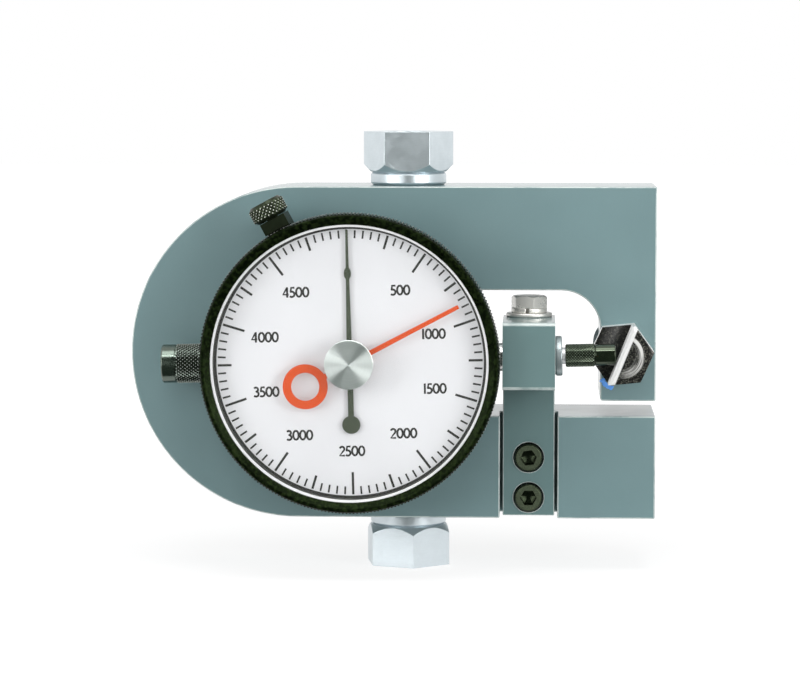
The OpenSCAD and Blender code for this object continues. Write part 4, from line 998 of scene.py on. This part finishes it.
def dial():
    """White dial with its division lines and numbers, a thin dark ring at its edge that is a painted shadow, and
    the bright ring that keeps the crystal off it.
    """
    plate = eased(square_ring(2.0, 48.3, DIAL_BACK, DIAL_FACE), 0.1, ring=True)
    put_on_dial("enamel_dial", settled(spun(plate, 192, ring=True)), "bezel", "dial_white", None, ["dial_plate"])
    marks = grown(dial_marks, DIAL_INK)
    digits = grown(inked_strokes, DIAL_INK, numbers(), Line=0.68, Ink=0.04)
    for print_mesh in (marks, digits):
        print_mesh.transform(Matrix.Translation((0, 0, PRINT_DEPTH)))
    # Thin dark ring just inside the spacer, printed in ink: a painted shadow of the gap under the spacer
    painted_shadow_ring = spun(square_ring(45.1, SPACER_RADIUS, SHADOW_RING_BACK, SHADOW_RING_FACE), 192, ring=True)
    put_on_dial("dial_print_and_shadow_ring", together(marks, digits, painted_shadow_ring), "bezel", "dial_white", DIAL_INK)
    section = eased(square_ring(SPACER_RADIUS, WINDOW_RADIUS, DIAL_FACE, SPACER_FACE), 0.15, ring=True)
    spacer = settled(spun(section, 192, ring=True))
    put_on_dial("spacer_ring", spacer, "bezel", "bright_steel", SPACER_STEEL, ["crystal_spacer"])


def arc(x, y, across, up, start, end, count=12):
    """Points of an arc in a digit's box, by its centre, its radii and its angles in degrees."""
    return [
        (x + across * math.cos(math.radians(start + (end - start) * i / count)),
         y + up * math.sin(math.radians(start + (end - start) * i / count)))
        for i in range(count + 1)
    ]


# Digits in a box one high: how far each moves the pen on, and its strokes
DIGITS = {
    "0": (0.66, [arc(0.33, 0.5, 0.26, 0.43, 90, 450, 28)]),
    "1": (0.32, [[(0.14, 0.0), (0.14, 1.0)]]),
    "2": (0.60, [arc(0.28, 0.71, 0.22, 0.22, 165, -30, 12) + [(0.05, 0.065), (0.54, 0.065)]]),
    "3": (0.58, [arc(0.23, 0.73, 0.20, 0.20, 150, -80, 12) + arc(0.23, 0.29, 0.25, 0.235, 85, -140, 14)]),
    "4": (0.66, [[(0.58, 0.29), (0.04, 0.29), (0.44, 0.96)], [(0.44, 1.0), (0.44, 0.0)]]),
    "5": (0.58, [[(0.50, 0.935), (0.17, 0.935), (0.12, 0.56)] + arc(0.22, 0.31, 0.26, 0.255, 112, -135, 14)]),
}


def numbers():
    """Strokes of the nine numbers, upright round the dial."""
    bm = bmesh.new()
    height, circle = 3.5, 29.9
    for k in range(1, 10):
        text = str(500 * k)
        width = sum(DIGITS[digit][0] for digit in text) * height
        turn = math.radians(90 - 36 * k)
        x = circle * math.cos(turn) - width / 2
        y = circle * math.sin(turn) - height / 2
        for digit in text:
            advance, strokes = DIGITS[digit]
            for stroke in strokes:
                points = [bm.verts.new((x + height * px, y + height * py, 0)) for px, py in stroke]
                for first, second in zip(points, points[1:]):
                    bm.edges.new((first, second))
            x += advance * height
    mesh = bpy.data.meshes.new("number_strokes")
    bm.to_mesh(mesh)
    bm.free()
    return mesh


def hands():
    """Black pointer, orange hand and the turned knob that sets it back."""
    put_softened("black_pointer", "pointer", 0.08, "hand_black", body="pointer_arbor")
    put_softened("orange_hand", "max_hand", 0.08, "hand_orange", body="max_hand")
    arbor_r, knob_r = 3.0, 8.2
    knob = spun(eased([
        (0, KNOB_BACK), (arbor_r, KNOB_BACK), (arbor_r, KNOB_SEAT), (knob_r, KNOB_SEAT),
        (knob_r, KNOB_FACE), (0.35, KNOB_FACE), (0, 29.82),
    ], 0.06), 192)
    put_on_dial("turned_reset_knob", settled(knob, 50), "max_hand", "knob_aluminium", None, ["reset_knob"])
    dress("movement_brass", "friction_washer")


def put_knurled(name, core, easing, place, body, material, node, **knurl):
    """Sets a black turned piece with a diamond knurl into the scene, by its outline about its own axis."""
    turned = settled(spun(eased(core, easing), 96))
    points = grown(diamond_knurl, BLACK_OXIDE, **knurl)
    put(name, laid(together(turned, points), place), body, "black_oxide", material, [node])


def knurled_pieces():
    """Thumb screw, dust cap and contact point, with the bright neck between the point and the spindle."""
    thumb_screw = [
        (0, 50.9), (1.9, 50.9), (1.95, 51.2), (1.95, 55.2), (5.0, 55.2), (6.0, 56.2), (6.0, 60.4),
        (5.2, 61.4), (0, 61.4),
    ]
    put_knurled(
        "knurled_thumb_screw", thumb_screw, 0.15, ON_LOCK, "bezel_lock", BLACK_THUMB, "bezel_lock_screw",
        Columns=26, Rows=5, Radius=5.98, Foot=55.9, Length=4.8, Point_Height=0.38)
    cap = [
        (0, -82.8), (6.15, -82.8), (6.55, -82.4), (6.55, -78.2), (6.3, -78.1), (6.3, -69.3), (6.1, -69.2),
        (5.55, -69.2), (5.55, -81.2), (0, -81.2),
    ]
    put_knurled(
        "knurled_dust_cap", cap, 0.12, ON_SPINDLE, "dust_cap", BLACK_CAP, "dust_cap",
        Columns=34, Rows=11, Radius=6.28, Foot=-78.1, Length=8.8, Point_Height=0.42)
    contact_point = [
        (0, 53.5), (2.75, 53.5), (2.75, 54.6), (3.5, 54.6), (3.68, 54.8), (3.68, 64.4), (3.5, 64.6),
        (3.4, 64.6), (3.625, 64.9), (3.625, 71.3), (3.225, 71.7), (0, 71.7),
    ]
    put_knurled(
        "knurled_contact_point", contact_point, 0.1, ON_SPINDLE, "spindle", BLACK_POINT, "contact_point",
        Columns=24, Rows=20, Radius=3.66, Foot=54.7, Length=9.8, Point_Height=0.27)
    neck = spun([(2.7, 53.52), (2.79, 53.52), (2.79, 54.58), (2.7, 54.58)], 64, ring=True)
    put("bright_neck", laid(settled(neck), ON_SPINDLE), "spindle", "bright_steel", RING_STEEL)


def inner_works():
    """Finishes of the movement, whose solids have their right shape already."""
    dress(
        "movement_steel", "spindle", "spindle_collar", "spindle_guide_pin", "movement_screws", "hairspring_stud",
        "hairspring", "centre_arbor", "takeup_arbor", "bezel_retaining_ring")
    dress(
        "movement_brass", "movement_plate", "movement_pillars", "pinion_cock", "rack_pinion", "rack_gear",
        "takeup_gear")


def return_spring():
    """Coil spring behind the spindle's collar, set on the gauge's body with a mesh of its own."""
    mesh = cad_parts["return_spring"].data.copy()
    coil = put("coiled_spring", settled(mesh, 60), "gauge", "movement_steel", None, ["return_spring"])
    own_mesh(coil)


frame_and_fittings()
lacquer_dab()
bracket_screws()
outer_indicator()
bezel()
crystal()
dial()
hands()
knurled_pieces()
return_spring()
inner_works()


# Studio

def sheet(name, middle, width, height, turn, material):
    """Flat card or floor about its middle."""
    bm = bmesh.new()
    bmesh.ops.create_grid(bm, x_segments=1, y_segments=1, size=0.5)
    bmesh.ops.scale(bm, vec=(width, height, 1), verts=bm.verts)
    mesh = bpy.data.meshes.new(name)
    bm.to_mesh(mesh)
    bm.free()
    mesh.materials.append(material)
    card = bpy.data.objects.new(name, mesh)
    card.matrix_world = Matrix.Translation(middle) @ Matrix(turn).to_4x4()
    bpy.context.scene.collection.objects.link(card)
    return card


def glossy_only(card):
    """Leaves a card to reflections alone."""
    for rays in ("camera", "diffuse", "transmission", "shadow", "volume_scatter"):
        setattr(card, "visible_" + rays, False)


def seen_straight(web):
    """Mask of the rays that show a surface itself, to the camera, in a reflection or through glass."""
    rays = web.add("ShaderNodeLightPath").outputs
    mirrored = web.math("MAXIMUM", rays["Is Glossy Ray"], rays["Is Transmission Ray"])
    return web.math("MAXIMUM", rays["Is Camera Ray"], mirrored)


def studio_material(name):
    """New material with its web and no shader, for what isn't part of the object."""
    material = bpy.data.materials.new(name)
    material.use_nodes = True
    web = Web(material.node_tree)
    web.tree.nodes.remove(web.tree.nodes["Principled BSDF"])
    return material, web


def pale_floor():
    """Pale floor that shows as white but for the shadow that it keeps near the object."""
    material, web = studio_material("pale_floor")
    place = web.add("ShaderNodeTexCoord").outputs["Object"]
    far = web.spread(web.vector("LENGTH", place), 0.2, 0.7)
    plain = web.add("ShaderNodeBsdfDiffuse", {"Color": (0.85, 0.85, 0.85, 1)}).outputs[0]
    soft = web.add("ShaderNodeBsdfDiffuse", {"Color": (0.3, 0.3, 0.3, 1)}).outputs[0]
    white = web.add("ShaderNodeEmission", {"Strength": web.scaled(far, 0.2, 0.8)}).outputs[0]
    shown = web.add("ShaderNodeAddShader", {0: soft, 1: white}).outputs[0]
    mixed = web.add("ShaderNodeMixShader", {0: seen_straight(web), 1: plain, 2: shown}).outputs[0]
    web.feed(web.tree.nodes["Material Output"].inputs["Surface"], mixed)
    return material


def card_material(name, colour, strength):
    """Even glow of one colour."""
    material, web = studio_material(name)
    glow = web.add("ShaderNodeEmission", {"Color": colour, "Strength": strength}).outputs[0]
    web.feed(web.tree.nodes["Material Output"].inputs["Surface"], glow)
    return material


FLAT = ((1, 0, 0), (0, 1, 0), (0, 0, 1))
UPRIGHT = ((1, 0, 0), (0, 0, -1), (0, 1, 0))
sheet("floor", (0, 0, 0), 9, 9, FLAT, pale_floor())
dark = card_material("dark_card", (0.075, 0.095, 0.088, 1), 1.0)
bright = card_material("bright_card", (1, 1, 1, 1), 4.2)
strip = card_material("bright_strip", (1, 1, 1, 1), 12.0)
for card in (
    ("dark_card_behind_camera", (0, -1.9, 1.35), 2.0, 2.7, UPRIGHT, dark),
    ("dark_card_on_floor", (0, -1.1, 0.002), 1.1, 1.6, FLAT, dark),
    ("dark_card_near_floor", (0, -0.18, 0.002), 0.9, 0.26, FLAT, dark),
    ("bright_strip_above", (0, -0.8, 1.1), 1.4, 0.2, FLAT, strip),
    ("bright_card_left", (-0.575, -1.3, 0.22), 0.34, 0.62, UPRIGHT, bright),
    ("bright_card_right", (0.665, -1.3, 0.22), 0.34, 0.62, UPRIGHT, bright),
):
    glossy_only(sheet(*card))

world = bpy.data.worlds.new("studio")
bpy.context.scene.world = world
world.use_nodes = True
web = Web(world.node_tree)
background = world.node_tree.nodes["Background"]
background.inputs["Color"].default_value = (1, 1, 1, 1)
web.feed(background.inputs["Strength"], web.scaled(seen_straight(web), 0.6, 0.4))


def softbox(name, place, target, width, height, brightness):
    """Area lamp of a plain brightness, aimed at a point."""
    lamp = bpy.data.lights.new(name, "AREA")
    lamp.shape = "RECTANGLE"
    lamp.size, lamp.size_y = width, height
    lamp.energy = math.pi * width * height * brightness
    thing = bpy.data.objects.new(name, lamp)
    thing.location = place
    thing.rotation_euler = (Vector(target) - Vector(place)).to_track_quat("-Z", "Y").to_euler()
    bpy.context.scene.collection.objects.link(thing)
    return thing


MIDDLE = (0, -0.02, 0.075)
softbox("key_right", (0.9, -0.8, 0.3), MIDDLE, 0.45, 0.7, 6.5)
softbox("fill_left", (-0.9, -0.75, 0.25), MIDDLE, 0.4, 0.7, 5.0)
softbox("top", (0.0, -0.35, 1.2), MIDDLE, 0.9, 0.5, 3.5)
softbox("front_fill", (-0.25, -1.5, 0.75), MIDDLE, 1.0, 0.8, 1.8).visible_glossy = False

# The photo's view: from a little above and to the right
CAMERA_PLACE = (0.0447, -1.0512, 0.17193)
CAMERA_AIM = (-0.00213, -0.01905, 0.07662)
camera = bpy.data.objects.new("camera", bpy.data.cameras.new("camera"))
camera.data.lens = 135.75
camera.data.sensor_width = 36
camera.data.clip_start = 0.05
camera.location = CAMERA_PLACE
aim = Vector(CAMERA_AIM) - camera.location
camera.rotation_euler = aim.to_track_quat("-Z", "Y").to_euler()
bpy.context.scene.collection.objects.link(camera)
bpy.context.scene.camera = camera
bpy.context.scene.view_settings.view_transform = "Standard"
